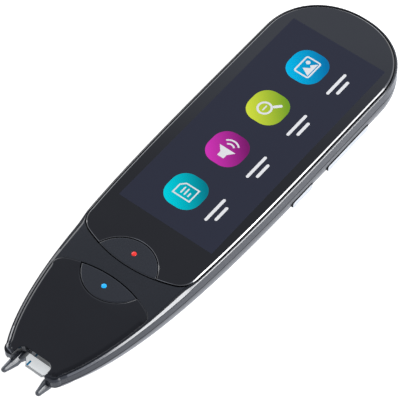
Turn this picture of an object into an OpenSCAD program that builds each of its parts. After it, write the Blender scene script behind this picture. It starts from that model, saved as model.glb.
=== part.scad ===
// Hand-held scanning pen with a long touch display, lying on its back.
// +X points to the side with the two keys, +Y to the rounded end and +Z out of the screen.
// The origin is under the middle of the pen, on the surface that it lies on.

/* [Body] */
// Width across the widest part
body_w = 38; // [37:0.5:46]
// Length from the rounded end to the tips of the guide prongs
body_l = 136.6; // [134:0.1:165]
// Thickness from the back to the face of the cover glass
body_t = 12.5; // [12.5:0.5:16]
// Length of the rounded end
round_l = 17.4; // [16.4:0.2:19]
// Fullness of the rounded end, where 2 is an ellipse
round_power = 2.12; // [2:0.02:2.4]
// Distance from the rounded end to where the sides begin to draw in
taper_gap = 26.7; // [25:0.1:32]
// How slowly the draw-in starts
taper_power = 3.47; // [3.2:0.01:3.6]
// How bluntly the nose closes
taper_root = 2.08; // [2:0.02:2.2]
// How far past the nose's end its outline would close
nose_blunt = 4.6; // [4.2:0.2:6]
// Radius of the nose's corners
nose_corner_r = 2; // [1.6:0.1:2.2]
// Wall of the rear housing
wall_t = 1.4; // [1.2:0.02:1.7]
// Height of the widest level above the back
belly_z = 8.5; // [8:0.1:8.7]
// How far the sides draw in under the widest level
tuck_side = 6; // [5:0.2:6.2]
// How far the rounded end draws in under it
tuck_end = 5; // [4:0.2:6]
// How far the nose draws in under it, besides its rake
tuck_nose = 5; // [4:0.2:6]
// Rake of the nose's underside, as length per height
nose_rake = 1.1; // [0.8:0.05:1.15]

/* [Front frame] */
// Depth of the rim's top below the glass
rim_drop = 0.3; // [0.2:0.05:0.4]
// Height of the frame's band on the sides
band_h = 3.3; // [3:0.1:3.6]
// Width of the bevel on the rim
bevel = 0.4; // [0.3:0.05:0.5]
// Wall of the frame below its ledge
frame_wall = 2.3; // [2.2:0.1:2.6]
// Thickness of the ledge that carries the glass
ledge_t = 1; // [0.8:0.05:1.2]
// Depth of the frame's lip inside the rear housing
lip_h = 0.9; // [0.6:0.1:1]
// Fall of the nose's top for each millimetre towards the tip
nose_fall = 0.023; // [0.015:0.001:0.028]

/* [Display and glass] */
// Width of the lit area
display_w = 29.4; // [24:0.2:30]
// Length of the lit area
display_l = 70.6; // [60:0.2:85]
// Distance from the rounded end to the lit area
display_gap = 11.1; // [10.9:0.1:14]
// Thickness of the cover glass
glass_t = 1.1; // [0.9:0.05:1.3]
// Distance from the outline to the glass's edge
glass_inset = 0.6; // [0.55:0.05:0.8]
// Glass below the lit area, at the middle
glass_chin = 15.6; // [14:0.1:18]
// Radius of the glass's lower edge
glass_arc_r = 38; // [36:1:60]
// Radius of the glass's lower corners
glass_corner_r = 5.5; // [4:0.5:6]
// Border of the display panel round the lit area
panel_border = 1; // [0.8:0.1:1.2]
// Thickness of the display panel
panel_t = 1.2; // [1:0.05:1.4]
// Thickness of the backlight
backlight_t = 0.75; // [0.6:0.05:0.9]
// Thickness of the steel mid plate
mid_plate_t = 0.4; // [0.3:0.05:0.5]
// Thickness of the tape and of the optical adhesive
tape_t = 0.1; // [0.08:0.01:0.12]

/* [Buttons] */
// Radius of the circle that the two crescents share
button_r = 9.4; // [7.5:0.1:10.6]
// Distance from the lit area to the circle's centre
button_centre = 17.5; // [17.2:0.1:17.8]
// Width of the waist band at the middle
waist_w = 4.1; // [3.6:0.1:4.6]
// Radius of the waist band's lower edge
waist_arc_r = 31; // [28:0.1:32]
// Gap round a button
button_gap = 0.2; // [0.15:0.05:0.3]
// Width of the flange that keeps a button in
flange_w = 0.6; // [0.5:0.05:0.8]
// Travel of a button
button_travel = 0.4; // [0.3:0.05:0.45]
// Diameter of the coloured dots
dot_d = 1.4; // [1.2:0.1:1.8]
// Distance from the circle's centre to each dot
dot_out = 5.7; // [5.2:0.1:6.2]

/* [Nose cover and tip] */
// Distance from the outline to the nose cover's edge
cover_inset = 1.3; // [1.1:0.1:1.5]
// Depth of the nose cover's top below the rim
cover_drop = 0.25; // [0.2:0.05:0.35]
// Width of the notch in the nose
notch_w = 10; // [9.4:0.1:10.2]
// Depth of the notch from the nose's end
notch_l = 3.8; // [3.6:0.1:4.4]
// Radius of the notch's inner corners
notch_r = 1.8; // [1:0.1:2.2]
// How far the prongs stand out of the nose
prong_out = 3.6; // [3.2:0.1:3.8]
// Gap between the prongs
prong_gap = 8; // [7.6:0.1:8.2]
// Width of a prong at its root
prong_w = 2.4; // [2.2:0.1:2.5]
// Height of a prong at its root
prong_h = 2.3; // [2:0.1:2.5]
// Diameter of a prong's round tip
prong_tip_d = 1.4; // [1.2:0.1:1.6]
// Depth of the prongs' top below the face
prong_drop = 3.8; // [3.8:0.1:4.4]
// Depth of the light head's top below the face
head_drop = 5.4; // [5.2:0.1:5.5]
// Height of the light head
head_h = 3.2; // [3:0.1:3.3]
// Travel of the tip when it is pressed on a page
tip_travel = 0.8; // [0.5:0.1:1]

/* [Keys] */
// Distance from the rounded end to the volume rocker
rocker_gap = 23.6; // [23:0.1:28]
// Length of the volume rocker
rocker_l = 17.3; // [14:0.1:18]
// Distance between the rocker and the power key
key_space = 5.8; // [5:0.1:7]
// Length of the power key
power_l = 8.5; // [8:0.1:10]
// Height of the keys
key_h = 2.4; // [2:0.1:2.6]
// How far the keys stand out of the side
key_proud = 0.45; // [0.3:0.05:0.6]
// Depth of the keys' middle below the parting plane
key_drop = 3.4; // [3.2:0.1:3.6]
// Travel of the power key
key_travel = 0.4; // [0.3:0.05:0.4]
// Diameter of the rocker's pin
rocker_pin_d = 0.8; // [0.6:0.1:1]

/* [Battery and boards] */
// Width of the battery
battery_w = 25.8; // [22:0.1:26]
// Length of the battery
battery_l = 39; // [34:0.5:40]
// Thickness of the battery
battery_t = 4.6; // [3.8:0.1:4.6]
// Distance from the rounded end to the battery
battery_gap = 20.8; // [20:0.1:24]
// Height of the main board's underside above the housing's floor
board_z = 3.8; // [3.6:0.1:4]
// Thickness of the boards
board_t = 0.8; // [0.6:0.1:1]
// Width of the main board
board_w = 20.4; // [18:0.2:20.6]
// Height of the top board's underside above the housing's floor
top_board_z = 2.6; // [2.4:0.1:2.8]

/* [Fasteners and ports] */
// Diameter of the case screws' shank
screw_d = 1.4; // [1.2:0.1:1.6]
// Diameter of the case screws' head
screw_head_d = 2.6; // [2.4:0.1:2.8]
// Diameter of the posts and bosses for the case screws
boss_d = 3.6; // [3.4:0.1:3.8]
// Clearance between moving plastic pieces
slide_gap = 0.15; // [0.12:0.01:0.18]
// Outer width of the USB-C shell
usb_w = 8.94; // [8.94]
// Outer height of the USB-C shell
usb_h = 3.16; // [3.16]
// Depth of the USB-C shell
usb_l = 7.3; // [6.8:0.1:7.4]
// Diameter of the camera window in the back
window_d = 5.4; // [5:0.1:5.6]

/* [Hidden] */
eps = 0.01;
$fn = 48;

// Places along the pen
end_y = body_l / 2;
nose_y = prong_out - body_l / 2;
round_y = end_y - round_l;
taper_y = end_y - taper_gap;
taper_l = taper_y - nose_y + nose_blunt;
display_y1 = end_y - display_gap;
display_y0 = display_y1 - display_l;
glass_y0 = display_y0 - glass_chin;
button_y = display_y0 - button_centre;
waist_y1 = glass_y0 - 0.1;
waist_y0 = waist_y1 - waist_w;
fall_y = waist_y1 + 2.5;
notch_y = nose_y + notch_l;

// Heights
floor_z = wall_t;
rim_z = body_t - rim_drop;
parting_z = rim_z - band_h;
glass_z = body_t - glass_t;
ledge_z = glass_z - tape_t;
panel_z = ledge_z - panel_t;
backlight_z = panel_z - backlight_t;
mid_plate_z = backlight_z - mid_plate_t;
cover_z = ledge_z - 1.1;
cover_ledge_t = 1;
main_z = floor_z + board_z;
top_z = floor_z + top_board_z;
key_z = parting_z - key_drop;

// The outline, drawn in by d at the sides, de at the rounded end and dn at the nose
end_steps = 12;
taper_steps = 18;
corner_steps = 3;
half = end_steps + taper_steps + corner_steps + 1;
function half_w(y, d = 0, de = 0, dn = 0) =
    let (a = body_w / 2 - d)
    y > round_y ? a * pow(max(0, 1 - pow((y - round_y) / (round_l - de), round_power)), 1 / round_power)
    : y < taper_y ? a * pow(max(0, 1 - pow((taper_y - y) / (taper_l - dn), taper_power)), 1 / taper_root)
    : a;
function corner_part(d, de, dn) =
    let (r = nose_corner_r, y = nose_y + dn + r, w = half_w(y, d, de, dn))
    [for (i = [0 : corner_steps - 1])
        let (t = 90 - 90 * i / corner_steps) [w - r + r * cos(t), y - r * sin(t)]];
function taper_part(d, de, dn) =
    let (y0 = nose_y + dn + nose_corner_r)
    [for (i = [0 : taper_steps])
        let (y = y0 + (taper_y - y0) * pow(i / taper_steps, 1.5)) [half_w(y, d, de, dn), y]];
function end_part(d, de) =
    let (a = body_w / 2 - d, b = round_l - de, p = 2 / round_power)
    [for (i = [0 : end_steps])
        let (t = 90 * i / end_steps) [a * pow(cos(t), p), round_y + b * pow(max(0, sin(t)), p)]];
function right_side(d, de, dn) = concat(corner_part(d, de, dn), taper_part(d, de, dn), end_part(d, de));
function ring(d, de, dn) =
    let (r = right_side(d, de, dn), n = len(r))
    concat([for (p = r) p], [for (i = [n - 2 : -1 : 0]) [-r[i][0], r[i][1]]]);

// How far a level is drawn in under the widest one, from 0 to 1
function tuck(z) = z >= belly_z ? 0 : 1 - sqrt(max(0, 1 - pow(1 - z / belly_z, 2)));
function level(z, extra) = [
    z,
    tuck_side * tuck(z) + extra,
    tuck_end * tuck(z) + extra,
    nose_rake * max(0, belly_z - z) + tuck_nose * tuck(z) + extra
];
function side_x(y, z) = half_w(y, tuck_side * tuck(z), tuck_end * tuck(z), level(z, 0)[3]);
function fall(y) = max(0, fall_y - y) * nose_fall;

// A closed solid through rings of the outline, where the last entry of a level scales the nose's fall
module loft(levels) {
    rings = [for (l = levels) ring(l[1], l[2], l[3])];
    n = len(rings[0]);
    s = (n - 1) / 2;
    points = [for (k = [0 : len(levels) - 1])
        for (p = rings[k]) [p[0], p[1], levels[k][0] - (len(levels[k]) > 4 ? levels[k][4] * fall(p[1]) : 0)]];
    last = (len(levels) - 1) * n;
    walls = [for (k = [0 : len(levels) - 2])
        for (i = [0 : n - 1])
            let (j = (i + 1) % n, a = k * n, b = a + n)
            each [[a + i, b + i, b + j], [a + i, b + j, a + j]]];
    bottom = [for (i = [0 : s - 1])
        let (l = n - 1 - i)
        each i == s - 1 ? [[i, i + 1, l]] : [[i, i + 1, l - 1], [i, l - 1, l]]];
    top = [for (f = bottom) [last + f[2], last + f[1], last + f[0]]];
    polyhedron(points, concat(bottom, walls, top), convexity = 8);
}

// A plain prism of the outline drawn in by d
module outline_prism(d, z0, z1) {
    translate([0, 0, z0]) linear_extrude(z1 - z0) polygon(ring(d, d, d));
}

// A box from its lowest to its highest corner
module block(lo, hi) {
    translate(lo) cube(hi - lo);
}

module rod(d, z0, z1) {
    translate([0, 0, z0]) cylinder(d = d, h = z1 - z0);
}

// A cylinder along Y
module rod_y(d, y0, y1) {
    translate([0, y0, 0]) rotate([-90, 0, 0]) cylinder(d = d, h = y1 - y0);
}

// A strip of flex, drawn as a side profile of points [y, z] and spread across x
module strip(x0, x1, points) {
    translate([x0, 0, 0]) rotate([90, 0, 90]) linear_extrude(x1 - x0) polygon(points);
}

// The flat shape of a slot with round ends, w wide and h high
module stadium(w, h) {
    square([w - h, h], center = true);
    for (s = [-1, 1]) translate([s * (w - h) / 2, 0]) circle(d = h);
}

// Shapes on the face, all flat

// The glass's own shape, grown by g
module glass_shape(g) {
    cx = half_w(display_y0 - 7.5) - glass_inset - glass_corner_r;
    dy = sqrt(pow(glass_arc_r - glass_corner_r, 2) - pow(cx, 2));
    arc_y = glass_y0 + glass_arc_r;
    cy = arc_y - dy;
    difference() {
        intersection() {
            polygon(ring(glass_inset - g, glass_inset - g, glass_inset - g));
            union() {
                translate([-body_w, arc_y]) square([2 * body_w, body_l]);
                translate([0, arc_y]) circle(r = glass_arc_r + g, $fn = 160);
            }
        }
        for (s = [-1, 1]) corner_waste(s, cx, cy, arc_y, g);
    }
}

// What the round lower corner takes off the glass on side s
module corner_waste(s, cx, cy, arc_y, g) {
    out = (glass_arc_r + 4) / (glass_arc_r - glass_corner_r);
    difference() {
        polygon([[s * cx, cy], [s * (cx + 12), cy], [s * (cx + 12), cy - 12], [s * cx * out, arc_y - (arc_y - cy) * out]]);
        translate([s * cx, cy]) circle(r = glass_corner_r + g);
    }
}

// The circle of the two crescents, grown by g
module button_circle(g) {
    translate([0, button_y]) circle(r = button_r + g, $fn = 96);
}

// The crescent in the glass, grown by g
module upper_crescent(g) {
    intersection() {
        button_circle(g);
        translate([0, glass_y0 + glass_arc_r]) circle(r = glass_arc_r - button_gap / 2 + g, $fn = 160);
    }
}

// The crescent in the nose cover, grown by g
module lower_crescent(g) {
    intersection() {
        button_circle(g);
        translate([0, waist_y0 - waist_arc_r]) circle(r = waist_arc_r - button_gap + g, $fn = 120);
    }
}

// The nose cover's outer shape, grown by g
module cover_shape(g) {
    intersection() {
        polygon(ring(cover_inset - g, cover_inset - g, cover_inset - g));
        translate([0, waist_y0 - waist_arc_r]) circle(r = waist_arc_r - 0.1 + g, $fn = 120);
    }
}

// The notch with its round inner corners, w wide, reaching past the nose
module notch_shape(w, y1, r) {
    x = w / 2 - r;
    translate([-w / 2, nose_y - 10]) square([w, y1 - r - nose_y + 10]);
    translate([-x, nose_y - 10]) square([2 * x, y1 - nose_y + 10]);
    for (s = [-1, 1]) translate([s * x, y1 - r]) circle(r = r);
}

// The display panel's shape, grown by g
panel_y0 = display_y0 - 2.6;
panel_y1 = display_y1 + panel_border;
panel_x = display_w / 2 + panel_border;
module panel_shape(g) {
    translate([-panel_x - g, panel_y0 - g]) square([2 * (panel_x + g), panel_y1 - panel_y0 + 2 * g]);
}
panel_clear = 0.25;

// Case screws: two near the rounded end and two under the waist, in the flat of the back
screw_end_x = usb_w / 2 + boss_d / 2 + 0.9;
screw_end_y = panel_y1 + panel_clear + boss_d / 2 + 0.2;
screw_waist_y = glass_y0 + 4.7;
screw_waist_x = side_x(screw_waist_y, 0) - screw_head_d / 2 - 0.5;
screw_places = [
    for (s = [-1, 1]) each [[s * screw_end_x, screw_end_y], [s * screw_waist_x, screw_waist_y]]
];
screw_seat = 1.5;
post_z = floor_z + 2;
module at_screws() {
    for (p = screw_places) translate([p[0], p[1], 0]) children();
}

// Boards
battery_y1 = end_y - battery_gap;
battery_y0 = battery_y1 - battery_l;
battery_x = -0.8;
tab_l = 2;
scan_y = nose_y + 16.8;
main_y0 = scan_y + 3.7;
main_y1 = battery_y0 - tab_l - 2;
top_y0 = battery_y1 + 3;
usb_y1 = end_y - 0.5;
usb_z = top_z + board_t + usb_h / 2;
board_screw_d = 1.2;
standoff_d = 3.2;
main_screws = [[-7.6, main_y1 - 2.4], [7.6, main_y1 - 21.5], [-5.2, main_y0 + 2.2]];
top_screws = [[-2.6, top_y0 + 2], [9.4, top_y0 + 2]];

// Speaker, microphone and camera
speaker_w = 11;
speaker_l = 15;
speaker_t = 3;
speaker_y = main_y1 - 16;
gasket_t = 0.3;
mic_place = [5.4, top_y0 + 3.4];
camera_box = 7;
camera_place = [-9.4, battery_y1 + 0.8 + camera_box / 2];

// Tip
prong_x = (prong_gap + prong_w) / 2;
prong_z1 = body_t - prong_drop;
prong_z0 = prong_z1 - prong_h;
head_z1 = body_t - head_drop;
head_z0 = head_z1 - head_h;
head_x = prong_gap / 2 - 0.1;
head_y0 = nose_y + 1.45;
head_l = 7.65;
head_lip = 0.35;
head_rake_y = head_y0 + 3.55;
head_corner = [head_x - 1.35, head_y0 + 1.85];
lens_z = (head_z0 + head_z1) / 2;
carriage_y1 = nose_y + 10.5;
liner_t = 0.9;
liner_x = prong_gap / 2 + liner_t;
spring_y1 = carriage_y1 + 3.4;
spring_d = 1.9;
spring_wire = 0.3;
spring_turns = 7;

// Keys: y of each middle, and the outer and inner faces of the wall there
rocker_y = end_y - rocker_gap - rocker_l / 2;
power_y = rocker_y - rocker_l / 2 - key_space - power_l / 2;
key_flange = 0.5;
key_low = key_z - key_h / 2 - key_flange;
rocker_face = side_x(rocker_y, key_z);
power_face = side_x(power_y, key_z);
rocker_back = side_x(rocker_y - rocker_l / 2 - 1, key_low) - wall_t;
power_back = side_x(power_y - power_l / 2 - 1, key_low) - wall_t;
key_flange_t = 0.5;
rocker_wall_gap = 0.25;
power_wall_gap = 0.1;
rocker_pin_x = rocker_back - rocker_wall_gap - key_flange_t - 0.95;
rocker_switch = 6;
switch_rocker_x = rocker_back - rocker_wall_gap - key_flange_t - 0.22;
switch_power_x = power_back - power_wall_gap - key_flange_t - key_travel - 0.05;
flex_x = rocker_pin_x - 0.75;
bracket_t = 0.4;
bracket_x = flex_x - 0.15 - bracket_t;
bracket_foot = 1.4;
bracket_z = floor_z + 0.6;
bracket_y0 = power_y - power_l / 2 - 1;
bracket_y1 = rocker_y + rocker_l / 2 + 1;
ear_t = 0.5;
ear_gap = 0.1;
lug_h = key_h - 0.6;

// Rear housing

outer_levels = [for (t = [0 : 15 : 90]) level(belly_z * (1 - cos(t)), 0)];
inner_steps = 5;
inner_levels = [for (i = [inner_steps : -1 : 0])
    level(floor_z + (belly_z - floor_z) * pow(i / inner_steps, 1.4), wall_t)];

module tub() {
    loft(concat(outer_levels, [level(parting_z, 0)], [level(parting_z, wall_t)], inner_levels));
}

module rear_housing() {
    color("#1d1f22") difference() {
        union() {
            tub();
            at_screws() rod(boss_d, floor_z - 0.3, post_z);
            for (p = main_screws) translate([p[0], p[1], 0]) rod(standoff_d, floor_z - 0.3, main_z);
            for (p = top_screws) translate([p[0], p[1], 0]) rod(standoff_d, floor_z - 0.3, top_z);
            scan_cradle();
            intersection() {
                tip_posts();
                loft([for (z = [0.4, 2, 4, 6, parting_z - 0.5]) level(z, 0.5)]);
            }
            bracket_pads();
        }
        at_screws() {
            rod(screw_head_d + 0.4, -1, screw_seat);
            rod(screw_d + 0.2, -1, post_z + 1);
        }
        for (p = main_screws) translate([p[0], p[1], 0]) rod(board_screw_d + 0.1, floor_z + 0.6, main_z + 1);
        for (p = top_screws) translate([p[0], p[1], 0]) rod(board_screw_d + 0.1, floor_z + 0.4, top_z + 1);
        key_slot(rocker_y, rocker_l, rocker_back);
        key_slot(power_y, power_l, power_back);
        usb_opening();
        camera_opening();
        speaker_holes();
        translate([mic_place[0], mic_place[1], 0]) rod(0.8, -1, floor_z + 1);
        tip_opening();
    }
}

// The cut for the tip: wide for the prongs, narrower for the head below them
module tip_opening() {
    wide = prong_x + prong_w / 2 + slide_gap;
    block([-wide, nose_y - 5, prong_z0 - slide_gap], [wide, notch_y + 4, parting_z + 1]);
    narrow = liner_x + slide_gap;
    block([-narrow, nose_y - 5, head_z0 - slide_gap], [narrow, notch_y + 4, parting_z + 1]);
}

module key_slot(y, l, back) {
    block(
        [back - 3, y - l / 2 - slide_gap, key_z - key_h / 2 - slide_gap],
        [back + 6, y + l / 2 + slide_gap, key_z + key_h / 2 + slide_gap]
    );
}

module usb_opening() {
    translate([0, end_y + 2, usb_z]) rotate([90, 0, 0])
        linear_extrude(7) stadium(usb_w + 0.5, usb_h + 0.5);
}

module camera_opening() {
    translate([camera_place[0], camera_place[1], 0]) {
        rod(window_d + 2.1, -1, 0.9);
        rod(window_d - 1, -1, floor_z + 1);
    }
}

module speaker_holes() {
    for (i = [-2 : 2]) for (j = [-1 : 1])
        translate([2 * i, speaker_y + 2 * j, 0]) rod(0.9, -1, floor_z + 1);
}

// Two low walls behind the scan board
module scan_cradle() {
    for (s = [-1, 1]) translate([s * 3.6, 0, 0])
        block([-0.9, scan_y + board_t, floor_z - 0.3], [0.9, scan_y + board_t + 1, lens_z]);
}

// Posts behind the sliding tip: one holds the spring, the other the tip switch
module tip_posts() {
    z0 = prong_z0 - slide_gap;
    x0 = liner_x + slide_gap;
    x1 = prong_x + prong_w / 2;
    for (s = [0, 1]) mirror([s, 0, 0]) {
        block([x0 - 1, spring_y1, floor_z - 0.3], [x1, spring_y1 + 1.2, prong_z1 - 0.2]);
        block([x0, carriage_y1 - 3, floor_z - 0.3], [x1, spring_y1 + eps, z0]);
    }
}

module bracket_pads() {
    for (y = [bracket_y0 + 1, bracket_y1 - 4])
        block([bracket_x - bracket_foot, y, floor_z - 0.3], [bracket_x - 0.4, y + 3, bracket_z]);
}

// Front frame

module front_frame() {
    color("#26292d") difference() {
        union() {
            difference() {
                frame_block();
                translate([0, 0, ledge_z]) linear_extrude(5) glass_shape(0.08);
                translate([0, 0, cover_z]) linear_extrude(6) cover_shape(0.08);
                outline_prism(frame_wall, parting_z - 1, cover_z - cover_ledge_t);
                cavity_under_glass();
                translate([0, 0, parting_z - 1]) linear_extrude(10) panel_shape(panel_clear);
            }
            frame_lip();
            at_screws() rod(boss_d, post_z, ledge_z - ledge_t + 0.1);
            board_pegs();
        }
        linear_extrude(glass_z) upper_crescent(flange_w + button_gap);
        linear_extrude(cover_z) lower_crescent(flange_w + button_gap);
        at_screws() rod(screw_d + 0.1, post_z - 1, post_z + 4.4);
        linear_extrude(20) notch_shape(notch_w, notch_y, notch_r);
        lip_gap_at_keys();
    }
}

module frame_block() {
    loft([
        level(parting_z, 0),
        concat(level(rim_z - bevel, 0), [1]),
        concat(level(rim_z, bevel), [1])
    ]);
}

// Room above the nose's ledge level, under the glass's ledge
module cavity_under_glass() {
    intersection() {
        outline_prism(frame_wall, parting_z - 1, ledge_z - ledge_t);
        block([-body_w, waist_y1 + 3, 0], [body_w, end_y, 20]);
    }
}

module frame_lip() {
    low = level(parting_z - lip_h, wall_t + 0.1);
    difference() {
        translate([0, 0, low[0]]) linear_extrude(lip_h + eps) polygon(ring(low[1], low[2], low[3]));
        outline_prism(frame_wall, parting_z - lip_h - 1, parting_z + 1);
    }
}

// The lip stops where the keys, the socket and the tip need the room
module lip_gap_at_keys() {
    block([body_w / 2 - 6, bracket_y0 - 0.5, 0], [body_w, bracket_y1 + 0.5, parting_z - eps]);
    block([-usb_w / 2 - 1, end_y - 6, 0], [usb_w / 2 + 1, end_y + 1, parting_z - eps]);
    block([-body_w, nose_y - 1, 0], [body_w, carriage_y1 + 1, parting_z - eps]);
}

// Four pegs that carry the button board
button_board_z = cover_z - 1.5;
button_board_t = 0.6;
button_board_y1 = panel_y0 - 1.2;
button_board_y0 = button_y - button_r - 2;
button_board_x = 7.4;
peg_places = [for (y = [button_board_y1 - 1.2, button_board_y0 + 1.2]) for (s = [-1, 1]) [s * (button_board_x - 1.3), y]];
module board_pegs() {
    for (p = peg_places) translate([p[0], p[1], 0])
        rod(1.6, button_board_z, (p[1] > waist_y1 ? ledge_z - ledge_t : cover_z - cover_ledge_t) + 0.1);
}

// Glass, display and what lies under it

module cover_glass() {
    color("#2b2d31") translate([0, 0, glass_z]) linear_extrude(glass_t) difference() {
        glass_shape(0);
        button_circle(button_gap);
    }
}

module glass_tape() {
    color("#101113") translate([0, 0, ledge_z]) linear_extrude(tape_t) difference() {
        glass_shape(-0.1);
        button_circle(flange_w + button_gap + 0.2);
        panel_shape(panel_clear + 0.05);
    }
}

module optical_adhesive() {
    color("#c9d3d8") translate([0, 0, ledge_z]) linear_extrude(tape_t) panel_shape(-0.3);
}

module display_panel() {
    color("#323446") translate([0, 0, panel_z]) linear_extrude(panel_t) panel_shape(0);
}

module backlight() {
    color("#e8e8e4") translate([0, 0, backlight_z]) linear_extrude(backlight_t) panel_shape(0);
}

module mid_plate() {
    color("#b4b8bc") translate([0, 0, mid_plate_z]) linear_extrude(mid_plate_t) panel_shape(0);
}

// From the display's lower edge down to the main board
module display_flex() {
    t = 0.15;
    y = panel_y0;
    ya = y - 0.5;
    yb = ya - 4.5;
    z = main_z + board_t;
    color("#b0702c") strip(-5, 5, [
        [y, panel_z], [ya, panel_z], [ya, z + t], [yb, z + t], [yb, z], [ya + t, z], [ya + t, panel_z - t], [y, panel_z - t]
    ]);
}

// Nose cover: a flat underside and a top that falls towards the tip
module nose_cover() {
    color("#17181b") difference() {
        translate([0, 0, cover_z]) linear_extrude(4) difference() {
            cover_shape(0);
            button_circle(button_gap);
            notch_shape(notch_w, notch_y, notch_r);
        }
        translate([-body_w, fall_y, rim_z - cover_drop]) rotate([atan(nose_fall), 0, 0])
            translate([0, -body_l, 0]) cube([2 * body_w, 2 * body_l, 10]);
    }
}

// Buttons

upper_top = body_t - 0.1;
lower_top = rim_z - cover_drop - fall(button_y - dot_out) + 0.1;
flange_t = 0.4;
upper_flange_z = glass_z - 0.1 - flange_t;
lower_flange_z = cover_z - 0.1 - flange_t;
dome_h = 0.35;
stem_z = button_board_z + dome_h + button_travel + 0.05;
dot_depth = 0.4;

module upper_button() {
    color("#3a3c40") difference() {
        union() {
            translate([0, 0, upper_flange_z + 0.1]) linear_extrude(upper_top - upper_flange_z - 0.1) upper_crescent(0);
            translate([0, 0, upper_flange_z]) linear_extrude(flange_t) upper_crescent(flange_w);
            translate([0, button_y + dot_out, 0]) rod(2, stem_z, upper_flange_z + 0.1);
        }
        translate([0, button_y + dot_out, 0]) rod(dot_d, upper_top - dot_depth, upper_top + 1);
    }
}

module lower_button() {
    color("#3a3c40") difference() {
        union() {
            translate([0, 0, lower_flange_z + 0.1]) linear_extrude(lower_top - lower_flange_z - 0.1) lower_crescent(0);
            translate([0, 0, lower_flange_z]) linear_extrude(flange_t) lower_crescent(flange_w);
            translate([0, button_y - dot_out, 0]) rod(2, stem_z, lower_flange_z + 0.1);
        }
        translate([0, button_y - dot_out, 0]) rod(dot_d, lower_top - dot_depth, lower_top + 1);
    }
}

module upper_dot() {
    color("#e2302c") translate([0, button_y + dot_out, 0]) rod(dot_d, upper_top - dot_depth, upper_top);
}

module lower_dot() {
    color("#1fa0e0") translate([0, button_y - dot_out, 0]) rod(dot_d, lower_top - dot_depth, lower_top);
}

module button_board() {
    color("#1f5a3a") translate([0, 0, button_board_z - button_board_t])
        linear_extrude(button_board_t)
        translate([-button_board_x, button_board_y0])
        square([2 * button_board_x, button_board_y1 - button_board_y0]);
}

module dome_switches() {
    color("#c8ccd0") for (s = [-1, 1]) translate([0, button_y + s * dot_out, 0])
        rod(4, button_board_z, button_board_z + dome_h);
}

// Keys

module power_key() {
    x0 = power_back - power_wall_gap - key_flange_t;
    color("#b9bdc2") {
        block([x0, power_y - power_l / 2, key_z - key_h / 2], [power_face + key_proud, power_y + power_l / 2, key_z + key_h / 2]);
        block(
            [x0, power_y - power_l / 2 - key_flange, key_z - key_h / 2 - key_flange],
            [x0 + key_flange_t, power_y + power_l / 2 + key_flange, key_z + key_h / 2 + key_flange]
        );
    }
}

module volume_rocker() {
    x0 = rocker_back - rocker_wall_gap - key_flange_t;
    color("#b9bdc2") difference() {
        union() {
            block(
                [x0, rocker_y - rocker_l / 2, key_z - key_h / 2],
                [rocker_face + key_proud, rocker_y + rocker_l / 2, key_z + key_h / 2]
            );
            block(
                [x0, rocker_y - rocker_l / 2 - key_flange, key_z - key_h / 2 - key_flange],
                [x0 + key_flange_t, rocker_y + rocker_l / 2 + key_flange, key_z + key_h / 2 + key_flange]
            );
            block([rocker_pin_x, rocker_y - 0.75, key_z - lug_h / 2], [x0 + eps, rocker_y + 0.75, key_z + lug_h / 2]);
            translate([rocker_pin_x, rocker_y, 0]) rod(1.5, key_z - lug_h / 2, key_z + lug_h / 2);
        }
        translate([rocker_pin_x, rocker_y, 0]) rod(rocker_pin_d + 0.1, key_z - 3, key_z + 3);
    }
}

module rocker_pin() {
    h = lug_h / 2 + ear_gap + ear_t;
    color("#c8ccd0") translate([rocker_pin_x, rocker_y, 0]) rod(rocker_pin_d, key_z - h, key_z + h);
}

// A steel bracket that stands on the housing's floor and backs the side switches
module key_bracket() {
    top = key_z + key_h / 2 + 0.4;
    color("#9aa0a6") difference() {
        union() {
            block([bracket_x, bracket_y0, bracket_z], [bracket_x + bracket_t, bracket_y1, top]);
            block([bracket_x - bracket_foot, bracket_y0, bracket_z], [bracket_x + eps, bracket_y1, bracket_z + bracket_t]);
            for (s = [-1, 1]) translate([0, 0, key_z + s * (lug_h / 2 + ear_gap + ear_t / 2)]) {
                block([bracket_x, rocker_y - 0.8, -ear_t / 2], [rocker_pin_x, rocker_y + 0.8, ear_t / 2]);
                translate([rocker_pin_x, rocker_y, 0]) rod(1.6, -ear_t / 2, ear_t / 2);
            }
        }
        translate([rocker_pin_x, rocker_y, 0]) rod(rocker_pin_d + 0.02, key_z - 4, key_z + 4);
    }
}

// The flex leaves the ears of the bracket free
module side_flex() {
    color("#b0702c") {
        block([flex_x - 0.15, bracket_y0, key_z - 1.2], [flex_x, rocker_y - 1, key_z + 1.2]);
        block([flex_x - 0.15, rocker_y - 1 - eps, key_z - 0.6], [flex_x, rocker_y + 1 + eps, key_z + 0.6]);
        block([flex_x - 0.15, rocker_y + 1, key_z - 1.2], [flex_x, bracket_y1, key_z + 1.2]);
    }
}

module side_switches() {
    color("#d5d8da") {
        for (s = [-1, 1]) block(
            [flex_x, rocker_y + s * rocker_switch - 1.3, key_z - 1],
            [switch_rocker_x, rocker_y + s * rocker_switch + 1.3, key_z + 1]
        );
        block([flex_x, power_y - 1.3, key_z - 1], [switch_power_x, power_y + 1.3, key_z + 1]);
    }
}

// Boards and what is on them

module main_board() {
    x = board_w / 2;
    xn = half_w(main_y0) - 5.2;
    color("#17603c") difference() {
        translate([0, 0, main_z]) linear_extrude(board_t)
            polygon([[-xn, main_y0], [xn, main_y0], [x, main_y0 + 12], [x, main_y1], [-x, main_y1], [-x, main_y0 + 12]]);
        for (p = main_screws) translate([p[0], p[1], 0]) rod(board_screw_d + 0.2, 0, 20);
        at_screws() rod(boss_d + 0.6, 0, 20);
    }
}

deck_z = main_z + board_t;
chip_y = main_y1 - 13;

module processor() {
    color("#2c2e30") block([-8, chip_y - 4.5, deck_z], [1, chip_y + 4.5, deck_z + 1]);
}

module memory_chip() {
    color("#2c2e30") block([1.8, chip_y - 3, deck_z], [6.8, chip_y + 4, deck_z + 0.8]);
}

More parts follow.
